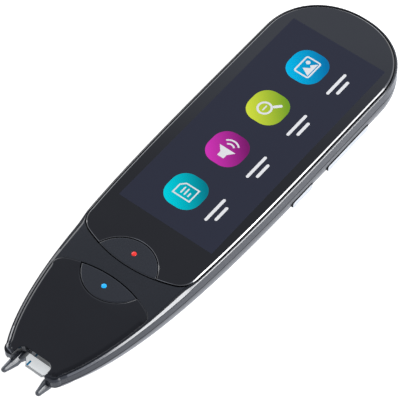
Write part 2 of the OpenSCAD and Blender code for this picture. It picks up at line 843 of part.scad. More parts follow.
module shield_can() {
    color("#b9bdc2") difference() {
        block([-9, chip_y - 6, deck_z], [8.8, chip_y + 6, deck_z + 1.6]);
        block([-8.8, chip_y - 5.8, deck_z - 1], [8.6, chip_y + 5.8, deck_z + 1.4]);
    }
}

module power_chip() {
    color("#2c2e30") block([3, main_y0 + 8, deck_z], [7.5, main_y0 + 12.5, deck_z + 0.8]);
}

module wireless_module() {
    color("#a8adb2") block([-7.5, main_y0 + 7, deck_z], [0.5, main_y0 + 14, deck_z + 1.3]);
}

pad_t = 0.35;
battery_z = floor_z + pad_t;

module battery() {
    x = battery_w / 2;
    color("#c5c9cc") translate([battery_x, 0, 0]) {
        block([-x, battery_y0, battery_z], [x, battery_y1, battery_z + battery_t]);
        block([-x + 1, battery_y0 - tab_l, battery_z + 0.6], [x - 1, battery_y0 + eps, deck_z + 1]);
    }
}

module battery_pad() {
    color("#3b3b3b") translate([battery_x, 0, 0])
        block([-battery_w / 2 + 3, battery_y0 + 2, floor_z], [battery_w / 2 - 3, battery_y1 - 2, battery_z]);
}

// Connector on the main board, and two wires to the battery's end strip
module battery_lead() {
    y = main_y1 - 3.2;
    color("#b03028") {
        block([-4.4, y, deck_z], [-0.4, y + 2.2, deck_z + 1.1]);
        for (x = [-3.2, -1.6]) translate([x, 0, deck_z + 0.55]) rod_y(0.8, y + 2, battery_y0 - tab_l);
    }
}

// From the main board over the battery to the top board
module link_flex() {
    t = 0.15;
    z1 = battery_z + battery_t;
    zt = top_z + board_t;
    ya = main_y1 - 3;
    yb = battery_y0 - tab_l - 0.4;
    zc = deck_z + 1;
    yc = top_y0 - 0.6;
    yd = top_y0 + 4;
    color("#b0702c") strip(1.2, 6.2, [
        [ya, deck_z], [yb, deck_z], [yb, zc], [battery_y0 + 0.3, zc], [battery_y0 + 0.3, z1], [yc, z1], [yc, zt], [yd, zt],
        [yd, zt + t], [yc + t, zt + t], [yc + t, z1 + t], [battery_y0 + 0.3 + t, z1 + t], [battery_y0 + 0.3 + t, zc + t],
        [yb - t, zc + t], [yb - t, deck_z + t], [ya, deck_z + t]
    ]);
}

module antenna() {
    x = -side_x(battery_y0, 5) + wall_t + 0.15;
    color("#b0702c") block([x, battery_y0 + 4, 5], [x + 0.15, battery_y0 + 34, parting_z - lip_h - 0.2]);
}

module speaker() {
    z = floor_z + gasket_t;
    color("#3b3d40") translate([0, speaker_y, 0]) {
        block([-speaker_w / 2, -speaker_l / 2, z], [speaker_w / 2, speaker_l / 2, z + speaker_t]);
    }
}

module speaker_gasket() {
    color("#1a1a1a") translate([0, speaker_y, floor_z]) linear_extrude(gasket_t) difference() {
        square([speaker_w, speaker_l], center = true);
        square([speaker_w - 1.6, speaker_l - 1.6], center = true);
    }
}

module microphone() {
    color("#c8ccd0") translate([mic_place[0], mic_place[1], 0])
        block([-1.5, -1, floor_z], [1.5, 1, floor_z + 0.9]);
}

module top_board() {
    color("#17603c") translate([0, 0, top_z]) linear_extrude(board_t) difference() {
        union() {
            translate([-4.8, top_y0]) square([16.4, 4.6]);
            translate([-4.8, top_y0]) square([9.6, usb_y1 - 2.6 - top_y0]);
        }
        for (p = top_screws) translate(p) circle(d = board_screw_d + 0.2);
    }
}

module usb_shell() {
    color("#c8ccd0") translate([0, usb_y1, usb_z]) rotate([90, 0, 0]) {
        linear_extrude(usb_l) difference() {
            stadium(usb_w, usb_h);
            stadium(usb_w - 0.6, usb_h - 0.6);
        }
        translate([0, 0, usb_l - 0.4]) linear_extrude(0.4) stadium(usb_w, usb_h);
    }
}

module usb_tongue() {
    color("#202124") block([-3.35, usb_y1 - usb_l + 0.4, usb_z - 0.35], [3.35, usb_y1 - 0.9, usb_z + 0.35]);
}

// Camera in the back

module photo_camera() {
    s = camera_box / 2;
    color("#26282b") translate([camera_place[0], camera_place[1], 0]) {
        block([-s, -s, floor_z], [s, s, floor_z + 4]);
        rod(window_d - 1.3, 1.0, floor_z + eps);
    }
}

module camera_window() {
    color("#15181c") translate([camera_place[0], camera_place[1], 0]) rod(window_d, 0.25, 0.9);
}

module camera_ring() {
    color("#8d9298") translate([camera_place[0], camera_place[1], 0]) difference() {
        rod(window_d + 2, 0.1, 0.9);
        rod(window_d + 0.04, -1, 2);
    }
}

// Scanning parts in the nose

module scan_board() {
    color("#17603c") block([-5.2, scan_y, floor_z], [5.2, scan_y + board_t, lens_z + 2.8]);
}

barrel_d = 4.6;
barrel_l = 5.2;

module scan_barrel() {
    color("#202226") translate([0, 0, lens_z]) difference() {
        rod_y(barrel_d, scan_y - barrel_l, scan_y);
        rod_y(barrel_d - 1, scan_y - barrel_l - 1, scan_y - barrel_l + 1);
    }
}

module scan_lens() {
    color("#8fb4c8") translate([0, 0, lens_z]) rod_y(barrel_d - 1, scan_y - barrel_l + 0.1, scan_y - barrel_l + 1);
}

module scan_lamps() {
    color("#f2e9b8") for (s = [-1, 1]) translate([s * 3.6, 0, lens_z])
        block([-0.8, scan_y - 0.8, -1], [0.8, scan_y, 1]);
}

module scan_flex() {
    t = 0.15;
    y = scan_y + board_t;
    color("#b0702c") strip(-2.2, 2.2, [
        [y, deck_z], [main_y0 + 4.2, deck_z], [main_y0 + 4.2, deck_z + t], [y, deck_z + t]
    ]);
}

// The sliding tip: two prongs, the liners beside the head and a bridge above it
module guide_prongs() {
    color("#2c3036") {
        for (s = [0, 1]) mirror([s, 0, 0]) prong();
        block([-prong_x - prong_w / 2, notch_y + 1.8, head_z1], [prong_x + prong_w / 2, carriage_y1, prong_z1]);
    }
}

module prong() {
    x0 = prong_gap / 2;
    y_root = nose_y + 0.5;
    block([x0, y_root, prong_z0], [x0 + prong_w, carriage_y1, prong_z1]);
    hull() {
        block([x0, y_root - eps, prong_z0], [x0 + prong_w, y_root + eps, prong_z1]);
        translate([prong_x + 0.2, -end_y + prong_tip_d / 2, prong_z1 - 0.75]) sphere(d = prong_tip_d, $fn = 20);
    }
    translate([x0, 0, 0]) strip(0, liner_t, [
        [carriage_y1, head_z0], [head_rake_y, head_z0], [head_y0, head_z1 - head_lip], [head_y0, prong_z1],
        [carriage_y1, prong_z1]
    ]);
    corner_plate(x0);
}

// Fills the corner that the head leaves free beside its slanted front corner
module corner_plate(x0) {
    gap = 0.08;
    translate([0, 0, head_z1 - 0.6]) linear_extrude(0.55) polygon([
        [x0 + eps, head_y0], [x0 + eps, head_corner[1] + gap], [head_x, head_corner[1] - gap],
        [head_corner[0] + gap, head_y0]
    ]);
}

// White head that spreads the lamps' light, open behind for the lens
module light_head() {
    wall = 0.9;
    y1 = head_y0 + head_l;
    color("#f3f4f4") difference() {
        intersection() {
            strip(-head_x, head_x, [
                [y1, head_z0], [head_rake_y, head_z0], [head_y0, head_z1 - head_lip], [head_y0, head_z1], [y1, head_z1]
            ]);
            translate([0, 0, head_z0 - 1]) linear_extrude(head_h + 2) polygon([
                [-head_x, y1 + 1], [-head_x, head_corner[1]], [-head_corner[0], head_y0 - eps],
                [head_corner[0], head_y0 - eps], [head_x, head_corner[1]], [head_x, y1 + 1]
            ]);
        }
        block([-head_x + wall, head_rake_y + 0.6, head_z0 + wall], [head_x - wall, y1 + 1, head_z1 - wall]);
    }
}

// Thin blue line on the head's left side, which shows where the text goes in
mark_w = 0.35;
mark_t = 0.05;
mark_l = 1.5;
module head_mark() {
    color("#1c8ec0") translate([-head_corner[0] + 0.1, head_y0 + 0.03, head_z1]) cube([mark_w, mark_l, mark_t]);
}

// A coil of round wire, worked out as a tube of six sides along a helix
module tip_spring() {
    steps = 10;
    sides = 6;
    y0 = carriage_y1 + 0.05;
    y1 = spring_y1 - 0.05;
    r = (spring_d - spring_wire) / 2;
    w = spring_wire / 2;
    count = spring_turns * steps;
    pitch = (y1 - y0 - spring_wire) / count;
    points = [for (i = [0 : count]) for (j = [0 : sides - 1])
        let (t = 360 * i / steps, a = 360 * j / sides, q = r + w * cos(a))
        [q * cos(t), y0 + w + pitch * i + w * sin(a), q * sin(t)]];
    walls = [for (i = [0 : count - 1]) for (j = [0 : sides - 1])
        let (k = (j + 1) % sides, a = i * sides, b = a + sides)
        each [[a + j, b + k, b + j], [a + j, a + k, b + k]]];
    caps = [[for (j = [sides - 1 : -1 : 0]) j], [for (j = [0 : sides - 1]) count * sides + j]];
    color("#c8ccd0") translate([prong_x, 0, (prong_z0 + prong_z1) / 2])
        polyhedron(points, concat(walls, caps), convexity = 10);
}

module tip_switch() {
    x = prong_w / 2 - 0.1;
    z = prong_z0 - slide_gap;
    color("#303235") translate([-prong_x, 0, 0]) {
        block([-x, carriage_y1 + tip_travel + 0.5, z], [x, spring_y1, z + 2]);
        block([-0.5, carriage_y1 + tip_travel + 0.05, z + 0.6], [0.5, carriage_y1 + tip_travel + 0.6, z + 1.4]);
    }
}

// Fasteners

case_screw_l = 5.2;
module case_screws() {
    color("#3a3c40") at_screws() difference() {
        union() {
            rod(screw_head_d, screw_seat - 0.9, screw_seat);
            rod(screw_d, screw_seat - eps, screw_seat + case_screw_l);
        }
        cross_recess(screw_seat - 0.9 - eps, 0.5);
    }
}

module cross_recess(z, depth) {
    for (a = [0, 90]) rotate([0, 0, a]) block([-0.75, -0.16, z], [0.75, 0.16, z + depth]);
}

module board_screws() {
    color("#c8ccd0") {
        for (p = main_screws) translate([p[0], p[1], main_z + board_t]) board_screw(2.6 + board_t);
        for (p = top_screws) translate([p[0], p[1], top_z + board_t]) board_screw(1.6 + board_t);
    }
}

module board_screw(l) {
    difference() {
        union() {
            rod(2.1, 0, 0.6);
            rod(board_screw_d, -l, eps);
        }
        cross_recess(0.6 - 0.3 + eps, 0.4);
    }
}

rear_housing();
front_frame();
cover_glass();
glass_tape();
optical_adhesive();
display_panel();
backlight();
mid_plate();
display_flex();
nose_cover();
upper_button();
upper_dot();
lower_button();
lower_dot();
button_board();
dome_switches();
power_key();
volume_rocker();
rocker_pin();
key_bracket();
side_flex();
side_switches();
main_board();
processor();
memory_chip();
shield_can();
power_chip();
wireless_module();
battery();
battery_pad();
battery_lead();
link_flex();
antenna();
speaker();
speaker_gasket();
microphone();
top_board();
usb_shell();
usb_tongue();
photo_camera();
camera_window();
camera_ring();
scan_board();
scan_barrel();
scan_lens();
scan_lamps();
scan_flex();
guide_prongs();
light_head();
head_mark();
tip_spring();
tip_switch();
case_screws();
board_screws();
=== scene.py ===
# %% [markdown]
# # A scanning pen on a pale table
# The pen lies on its back: a long lit display under one sheet of glass, a glossy nose with two
# crescent buttons, two silver keys in the right side and a notched tip with a white head.
# The first cell loads the exact model as a frame. Everything after it is built round that frame,
# in the same millimetres, so nothing has to be fitted by eye.

# %% Load the frame
import math

import bmesh
import bpy
from mathutils import Matrix, Vector
from mathutils.geometry import tessellate_polygon


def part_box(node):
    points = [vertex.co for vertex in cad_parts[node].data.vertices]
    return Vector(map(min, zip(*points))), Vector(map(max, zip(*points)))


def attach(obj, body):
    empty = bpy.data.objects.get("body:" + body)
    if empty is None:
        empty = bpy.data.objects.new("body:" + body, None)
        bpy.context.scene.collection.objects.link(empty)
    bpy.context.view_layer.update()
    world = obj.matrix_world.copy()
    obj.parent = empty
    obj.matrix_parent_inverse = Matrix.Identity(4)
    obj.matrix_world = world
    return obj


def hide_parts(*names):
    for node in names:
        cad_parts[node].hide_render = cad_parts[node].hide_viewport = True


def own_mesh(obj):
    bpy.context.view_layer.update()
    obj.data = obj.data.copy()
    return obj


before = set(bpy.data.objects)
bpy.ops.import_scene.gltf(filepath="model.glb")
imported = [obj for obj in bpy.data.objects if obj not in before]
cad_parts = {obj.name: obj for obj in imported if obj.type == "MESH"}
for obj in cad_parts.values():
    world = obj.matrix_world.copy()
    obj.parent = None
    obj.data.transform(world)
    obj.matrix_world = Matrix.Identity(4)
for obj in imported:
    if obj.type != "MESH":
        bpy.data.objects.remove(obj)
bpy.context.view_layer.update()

MM = 0.001

# %% [markdown]
# ## Camera
# The display's four corners fix where the camera stands. A display is a plain rectangle, so its
# corners in a picture give the viewing direction, the distance and the lens. The unit vectors below
# are the picture's right, its up and the viewing direction, in the pen's own axes.

# %% Camera
EYE = Vector((246.5, -276.5, 525.35)) * MM
RIGHT = Vector((0.7774, 0.6280, -0.0347)).normalized()
AHEAD = Vector((-0.3868, 0.4339, -0.8137)).normalized()
UP = RIGHT.cross(AHEAD).normalized()
lens = bpy.data.cameras.new("lens")
lens.lens = 230.4
lens.sensor_width = 36
lens.clip_start = 0.01
camera = bpy.data.objects.new("camera", lens)
bpy.context.scene.collection.objects.link(camera)
rows = Matrix((RIGHT, UP, -AHEAD)).transposed().to_4x4()
camera.matrix_world = Matrix.Translation(EYE) @ rows
bpy.context.scene.camera = camera
print("camera stands", round(EYE.length, 3), "m away")

# %% [markdown]
# ## Small helpers
# A node tree reads best when each node is one short line, so these helpers add a node, set its
# sockets and join it up. Meshes get their own helpers too: every finished piece is a plain object at
# the origin, and its place is in its vertices.

# %% Helpers for node trees
scene = bpy.context.scene
scene.view_settings.view_transform = "Standard"


def bare_tree(owner):
    """The node tree of a new material or world, with nothing in it."""
    owner.use_nodes = True
    owner.node_tree.nodes.clear()
    return owner.node_tree


def node(tree, kind, **sockets):
    """A node of that kind, with values or links for its named or numbered inputs."""
    n = tree.nodes.new(kind)
    for key, value in sockets.items():
        where = int(key[1:]) if key[0] == "_" and key[1:].isdigit() else key.replace("_", " ")
        if isinstance(value, bpy.types.NodeSocket):
            tree.links.new(value, n.inputs[where])
        else:
            n.inputs[where].default_value = value
    return n


def math_node(tree, operation, a, b=None):
    """One step of arithmetic in a node tree; gives the result's socket."""
    n = tree.nodes.new("ShaderNodeMath")
    n.operation = operation
    for where, value in enumerate((a, b)):
        if isinstance(value, bpy.types.NodeSocket):
            tree.links.new(value, n.inputs[where])
        elif value is not None:
            n.inputs[where].default_value = value
    return n.outputs[0]


def ramp(tree, fac, stops):
    """A colour ramp through (place, colour) stops."""
    n = node(tree, "ShaderNodeValToRGB", Fac=fac)
    for _ in range(len(stops) - 2):
        n.color_ramp.elements.new(0.5)
    for element, (where, colour) in zip(n.color_ramp.elements, stops):
        element.position = where
        element.color = (*colour, 1)
    return n.outputs["Color"]


print("colours are shown as", scene.view_settings.view_transform)


# %% Helpers for meshes
def new_object(name, data):
    """An object with that data, in the scene."""
    obj = bpy.data.objects.new(name, data)
    scene.collection.objects.link(obj)
    return obj


def finish_mesh(obj, smooth):
    """Merges doubles, turns the faces outwards and shades parts rounder than smooth degrees as round."""
    bm = bmesh.new()
    bm.from_mesh(obj.data)
    bmesh.ops.remove_doubles(bm, verts=bm.verts, dist=1e-7)
    bmesh.ops.recalc_face_normals(bm, faces=bm.faces)
    bm.to_mesh(obj.data)
    bm.free()
    obj.data.polygons.foreach_set("use_smooth", [True] * len(obj.data.polygons))
    obj.data.set_sharp_from_angle(angle=math.radians(smooth))


def mesh_object(name, vertices, faces, smooth=40, finishes=()):
    """A mesh object at the origin from points in millimetres, with round parts shaded smooth.
    finishes may pair materials with a test of a face's number, and the last that fits wins."""
    mesh = bpy.data.meshes.new(name)
    mesh.from_pydata([Vector(v) * MM for v in vertices], [], faces)
    for number, (material, test) in enumerate(finishes):
        mesh.materials.append(material)
        for face in mesh.polygons:
            if test(face.index):
                face.material_index = number
    obj = new_object(name, mesh)
    finish_mesh(obj, smooth)
    return obj


def plain_copy(obj, smooth=40):
    """Turns an object's modifiers into a plain mesh, so that none is left on it."""
    graph = bpy.context.evaluated_depsgraph_get()
    mesh = bpy.data.meshes.new_from_object(obj.evaluated_get(graph))
    obj.modifiers.clear()
    obj.data = mesh
    finish_mesh(obj, smooth)
    return obj


def paint(obj, material):
    """Gives an object one material."""
    obj.data.materials.clear()
    obj.data.materials.append(material)


def place(obj, body, slot, material, *stands_for):
    """Paints a finished piece, lets it ride on its body and hides the frame's parts that it stands for."""
    if material:
        paint(obj, material)
    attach(obj, body)
    if stands_for:
        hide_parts(*stands_for)
    print(obj.name, len(obj.data.polygons), "faces")


# %% [markdown]
# ## Floor and light
# A black glossy thing is mostly a picture of what stands round it, so the light is the larger half
# of its look. A white table and a pale room show in its sides. A soft box low on the right lights
# the bevel along the nose, one behind it draws the white line along the glass, and a large one on
# the left greys the rim there. Overhead the room is darker, which keeps the flat glass deep and
# lets it brighten towards the far end.

# %% Floor
FLOOR_SIZE = 6
SEEN, MIRRORED = 0.75, 0.50
COOLER = (0.90, 0.98, 1.16)


def light_ways(tree):
    """Two switches: 1 for light sent on by a glossy or clear thing, and 1 for what the camera sees."""
    path = tree.nodes.new("ShaderNodeLightPath").outputs
    sent_on = math_node(tree, "MAXIMUM", path["Is Glossy Ray"], path["Is Transmission Ray"])
    return sent_on, path["Is Camera Ray"]


floor_paint = bpy.data.materials.new("pale_table")
tree = bare_tree(floor_paint)
grain = node(tree, "ShaderNodeTexNoise", Scale=30.0)
tone = ramp(tree, grain.outputs["Fac"], [(0.3, (0.83, 0.83, 0.83)), (0.7, (0.85, 0.85, 0.85))])
matt = node(tree, "ShaderNodeBsdfDiffuse", Color=tone)
# the table also shines a little by itself, as one lit from below does, and cooler where it is mirrored
sent_on, straight = light_ways(tree)
tint = ramp(tree, sent_on, [(0.0, (1, 1, 1)), (1.0, COOLER)])
seen = math_node(tree, "MULTIPLY", straight, SEEN)
shine = math_node(tree, "ADD", seen, math_node(tree, "MULTIPLY", sent_on, MIRRORED))
glow = node(tree, "ShaderNodeEmission", Color=tint, Strength=shine)
both = node(tree, "ShaderNodeAddShader", _0=matt.outputs[0], _1=glow.outputs[0])
node(tree, "ShaderNodeOutputMaterial", Surface=both.outputs[0])
bpy.ops.mesh.primitive_plane_add(size=FLOOR_SIZE, location=(0, 0, 0))
floor = bpy.context.object
floor.name = "table"
paint(floor, floor_paint)
print("the table is", FLOOR_SIZE, "m wide")

# %% Room
ROOM_LIGHT = 0.27
world = bpy.data.worlds.new("room")
scene.world = world
tree = bare_tree(world)
way = tree.nodes.new("ShaderNodeTexCoord")
height = node(tree, "ShaderNodeSeparateXYZ", Vector=way.outputs["Generated"]).outputs["Z"]
dome = ramp(tree, height, [
    (0.0, (1, 1, 1)), (0.70, (1.00, 1.06, 1.22)), (0.78, (0.98, 1.06, 1.25)),
    (0.805, (0.44, 0.46, 0.52)), (0.86, (0.38, 0.40, 0.46)), (1.0, (0.20, 0.21, 0.24)),
])
sent_on, straight = light_ways(tree)
soft = node(tree, "ShaderNodeBackground", Color=(1, 1, 1, 1), Strength=ROOM_LIGHT)
mirror = node(tree, "ShaderNodeBackground", Color=dome, Strength=1.0)
white = node(tree, "ShaderNodeBackground", Color=(1, 1, 1, 1), Strength=1.0)
mix = node(tree, "ShaderNodeMixShader", _0=sent_on, _1=soft.outputs[0], _2=mirror.outputs[0])
last = node(tree, "ShaderNodeMixShader", _0=straight, _1=mix.outputs[0], _2=white.outputs[0])
node(tree, "ShaderNodeOutputWorld", Surface=last.outputs[0])
print("the room's tree has", len(tree.nodes), "nodes")

# %% Soft boxes
BOX_AWAY = 1.0
# each box: azimuth from +X and elevation in degrees, width and height in metres, and watts
SOFT_BOXES = {
    "nose_bevel_box": (18, 33, (0.56, 0.42), 4.4),
    "glass_line_box": (38, 47, (0.62, 0.40), 5.2),
    "left_box": (166, 31, (0.80, 0.56), 4.3),
}


def soft_box(name, azimuth, elevation, size, power):
    """A rectangular lamp that faces the pen."""
    lamp = bpy.data.lights.new(name, "AREA")
    lamp.shape = "RECTANGLE"
    lamp.size, lamp.size_y = size
    lamp.energy = power
    a, e = math.radians(azimuth), math.radians(elevation)
    back = Vector((math.cos(a) * math.cos(e), math.sin(a) * math.cos(e), math.sin(e)))
    side = Vector((0, 0, 1)).cross(back).normalized()
    turned = Matrix((side, back.cross(side), back)).transposed().to_4x4()
    new_object(name, lamp).matrix_world = Matrix.Translation(back * BOX_AWAY) @ turned


for name, values in SOFT_BOXES.items():
    soft_box(name, *values)
print("soft boxes:", sorted(SOFT_BOXES))

# %% [markdown]
# ## Finishes
# Every finish is a small recipe of nodes. Moulded plastic is never one even tone: it has a fine
# grain that scatters the light, and faint larger clouds where it cooled. The pattern is read from
# Object coordinates, so it stays on the piece from any side. A number that is the same all over is
# set on the shader itself.

# %% Recipe for moulded, painted and metal surfaces
FINE_SCALE = 2600.0
GLOSS_SPREAD = 0.15
BUMP_DEPTH = 0.0001


def finish(name, dark, light, rough, grain=1.0, bump=0.02, cloud=40.0, metal=0.0, glow=0.0,
           stretch=(1, 1, 1), ior=1.5):
    """A material whose colour drifts between two tones, with a fine grain in its gloss and surface.
    A higher grain is coarser, and a higher cloud makes smaller clouds."""
    material = bpy.data.materials.new(name)
    t = bare_tree(material)
    where = t.nodes.new("ShaderNodeTexCoord").outputs["Object"]
    turned = node(t, "ShaderNodeMapping", Vector=where, Scale=stretch).outputs[0]
    clouds = node(t, "ShaderNodeTexNoise", Vector=turned, Scale=cloud, Detail=3.0)
    colour = ramp(t, clouds.outputs["Fac"], [(0.35, dark), (0.65, light)])
    fine = node(t, "ShaderNodeTexNoise", Vector=turned, Scale=FINE_SCALE / grain, Detail=2.0)
    gloss = node(t, "ShaderNodeMapRange", Value=fine.outputs["Fac"],
                 To_Min=rough * (1 - GLOSS_SPREAD), To_Max=rough * (1 + GLOSS_SPREAD))
    shader = node(t, "ShaderNodeBsdfPrincipled", Base_Color=colour, Roughness=gloss.outputs[0],
                  Metallic=metal, IOR=ior)
    if bump:
        lumps = node(t, "ShaderNodeBump", Height=fine.outputs["Fac"], Strength=bump, Distance=BUMP_DEPTH)
        t.links.new(lumps.outputs[0], shader.inputs["Normal"])
    if glow:
        t.links.new(colour, shader.inputs["Emission Color"])
        shader.inputs["Emission Strength"].default_value = glow
    node(t, "ShaderNodeOutputMaterial", Surface=shader.outputs[0])
    return material


# %% Finishes of the case
case_black = finish("case_black", (0.024, 0.026, 0.033), (0.031, 0.034, 0.042), 0.26, bump=0.05, ior=1.6)
rim_grey = finish("rim_grey", (0.0050, 0.0068, 0.0105), (0.0070, 0.0085, 0.0130), 0.22, bump=0.03, ior=1.52)
# a lighter copy of the rim's finish for its walls and the right side's outer slope: painted light
rim_painted_light_side = finish("rim_painted_light_side", (0.018, 0.021, 0.030), (0.024, 0.027, 0.037), 0.24, bump=0.03, ior=1.45)
# a lighter, more mirroring copy for the right bevel and a strip by the left tip: a painted highlight
rim_painted_highlight = finish("rim_painted_highlight", (0.030, 0.034, 0.044), (0.038, 0.042, 0.054), 0.20, bump=0.0, ior=2.0)
# a darker, duller copy for the left side's outer slope: a painted shade
rim_painted_shade = finish("rim_painted_shade", (0.012, 0.013, 0.017), (0.016, 0.018, 0.022), 0.60, bump=0.03, ior=1.2)
glass_black = finish("glass_black", (0.0052, 0.0056, 0.0082), (0.0066, 0.0070, 0.0098), 0.045, bump=0.0)
# a lighter copy of the glass that mirrors more, for the ground facet: a painted highlight
glass_facet_painted_highlight = finish("glass_facet_painted_highlight", (0.010, 0.010, 0.012), (0.013, 0.013, 0.015), 0.10, bump=0.0, ior=2.2)
nose_gloss = finish("nose_gloss", (0.0056, 0.0060, 0.0088), (0.0070, 0.0076, 0.0106), 0.07, bump=0.004)
print(len(bpy.data.materials), "materials so far")

# %% Finishes of buttons, keys and tip
button_gloss = finish("button_gloss", (0.0088, 0.0108, 0.0160), (0.0115, 0.0136, 0.0200), 0.22, bump=0.01)
# the key's outer face: silver metal with a painted glow
key_silver_painted_glow = finish("key_silver_painted_glow", (0.60, 0.62, 0.64), (0.72, 0.74, 0.76), 0.26, metal=0.8, glow=0.08,
                    stretch=(1, 0.04, 1))
# all the key's other faces: a near-black copy, a painted shade
key_painted_shade = finish("key_painted_shade", (0.008, 0.009, 0.011), (0.012, 0.013, 0.016), 0.60, ior=1.2)
prong_grey = finish("prong_grey", (0.024, 0.029, 0.038), (0.034, 0.041, 0.053), 0.30, bump=0.03, ior=1.75)
# the head's white has a painted glow
head_white_painted_glow = finish("head_white_painted_glow", (0.84, 0.87, 0.89), (0.90, 0.93, 0.95), 0.32, glow=0.58)
# its front is a darker white with less glow: a painted shade
head_front_painted_shade = finish("head_front_painted_shade", (0.56, 0.58, 0.60), (0.64, 0.66, 0.68), 0.40, glow=0.12)
mark_blue = finish("mark_blue", (0.006, 0.200, 0.400), (0.010, 0.240, 0.460), 0.30, glow=0.3)
dot_red = finish("dot_red", (0.70, 0.026, 0.020), (0.78, 0.036, 0.028), 0.14, bump=0.0, glow=0.25)
dot_blue = finish("dot_blue", (0.006, 0.320, 0.720), (0.012, 0.400, 0.840), 0.14, bump=0.0, glow=0.45)
print(len(bpy.data.materials), "materials so far")

# %% [markdown]
# ## The outline
# One rule draws the whole face. The rounded end is a superellipse, a little fuller than an ellipse.
# The sides run straight, then draw in on a curve that starts very slowly and ends in a blunt nose.
# Insets shorten the rule's own lengths, so every line inside the outline keeps its character.

# %% Outline
# half the width, where the far end and the nose lie, and the nose's round corners
HALF, END, NOSE = 19.0, 68.3, -64.7
NOSE_CORNER = 2.0
# the rounded end's length and power
ROUND_L, ROUND_P = 17.4, 2.12
ROUND_Y = END - ROUND_L
# where the taper starts, its full length, and the power and root of its curve
TAPER_Y, TAPER_L = 41.6, 110.9
TAPER_P, TAPER_ROOT = 3.47, 2.08
# up to this height the back is round
BELLY = 8.5
# the steps of each stretch, how closely the taper's crowd at the nose, and when two points are one
CORNER_STEPS, TAPER_STEPS, STRAIGHT_STEPS, ROUND_STEPS = 10, 80, 7, 56
CROWDING = 1.4
SAME_PLACE = 0.004


def half_width(y, d=0.0):
    """Half the pen's width at y, for the outline drawn in by d."""
    a = HALF - d
    if y > ROUND_Y:
        return a * max(0.0, 1 - ((y - ROUND_Y) / (ROUND_L - d)) ** ROUND_P) ** (1 / ROUND_P)
    if y < TAPER_Y:
        return a * max(0.0, 1 - ((TAPER_Y - y) / (TAPER_L - d)) ** TAPER_P) ** (1 / TAPER_ROOT)
    return a


def arc(cx, cy, r, start, stop, steps):
    """Points on a circle from start to stop, in degrees."""
    turn = [math.radians(start + (stop - start) * i / steps) for i in range(steps + 1)]
    return [(cx + r * math.cos(t), cy + r * math.sin(t)) for t in turn]


def circle(cx, cy, r, n=36):
    """A whole circle of n points."""
    return arc(cx, cy, r, 0, 360 - 360 / n, n - 1)


def right_edge(d, low=None):
    """Points up the right side of the outline drawn in by d, from low or else from the nose's corner.
    Along the taper they lie closer together near the nose, where it bends more."""
    points = []
    if low is None:
        low = NOSE + d + NOSE_CORNER
        points = arc(half_width(low, d) - NOSE_CORNER, low, NOSE_CORNER, -90, 0, CORNER_STEPS)[:-1]
    ys = [low + (TAPER_Y - low) * (i / TAPER_STEPS) ** CROWDING for i in range(TAPER_STEPS + 1)]
    ys += [TAPER_Y + (ROUND_Y - TAPER_Y) * i / STRAIGHT_STEPS for i in range(1, STRAIGHT_STEPS)]
    points += [(half_width(y, d), y) for y in ys]
    for i in range(ROUND_STEPS + 1):
        t = math.radians(90 * i / ROUND_STEPS)
        x = (HALF - d) * max(0.0, math.cos(t)) ** (2 / ROUND_P)
        points.append((x, ROUND_Y + (ROUND_L - d) * math.sin(t) ** (2 / ROUND_P)))
    return points


def mirrored(points):
    """A half outline and its mirror image, as one closed loop."""
    loop = points + [(-p[0], *p[1:]) for p in reversed(points)]
    return [p for i, p in enumerate(loop) if math.dist(p[:2], loop[i - 1][:2]) > SAME_PLACE]


print("the outline has", len(mirrored(right_edge(0.0))), "points")

# %% [markdown]
# ## Flat pieces with soft edges
# Glass, covers, buttons and the frame are all plates: a flat shape with a wall and a rounded top
# edge. A modifier could bevel them, but these shapes have hundreds of short edges, and a bevel is
# then held back by the shortest one. So the plate is built directly. Each loop is stepped inwards
# along its own normals on a quarter circle or a profile of its own, and the last loop is filled.

# %% Plates
# a corner's point moves no further than its step divided by this
SHARPEST = 0.5
ROUND_EDGE_TURNS = [math.radians(18 * k) for k in range(6)]
ROUNDED = [(1 - math.cos(t), 1 - math.sin(t)) for t in ROUND_EDGE_TURNS]


def loop_area(loop):
    """Twice the signed area of a loop."""
    return sum(a[0] * b[1] - b[0] * a[1] for a, b in zip(loop, loop[1:] + loop[:1]))


def stepped_in(loop, distances):
    """The loop moved to its left by those distances, which is inwards for an anticlockwise loop."""
    out = []
    n = len(loop)
    for i, (p, distance) in enumerate(zip(loop, distances)):
        x, y = p[:2]
        (ax, ay), (bx, by) = loop[i - 1][:2], loop[(i + 1) % n][:2]
        ux, uy, vx, vy = x - ax, y - ay, bx - x, by - y
        lu, lv = math.hypot(ux, uy) or 1.0, math.hypot(vx, vy) or 1.0
        nx, ny = -uy / lu - vy / lv, ux / lu + vx / lv
        k = math.hypot(nx, ny) or 1.0
        nx, ny = nx / k, ny / k
        spread = max(SHARPEST, nx * -uy / lu + ny * ux / lu)
        out.append((x + nx * distance / spread, y + ny * distance / spread))
    return out


def band(a, b, n):
    """The faces between two rings of n points, whose first points have the numbers a and b."""
    return [(a + i, a + (i + 1) % n, b + (i + 1) % n, b + i) for i in range(n)]


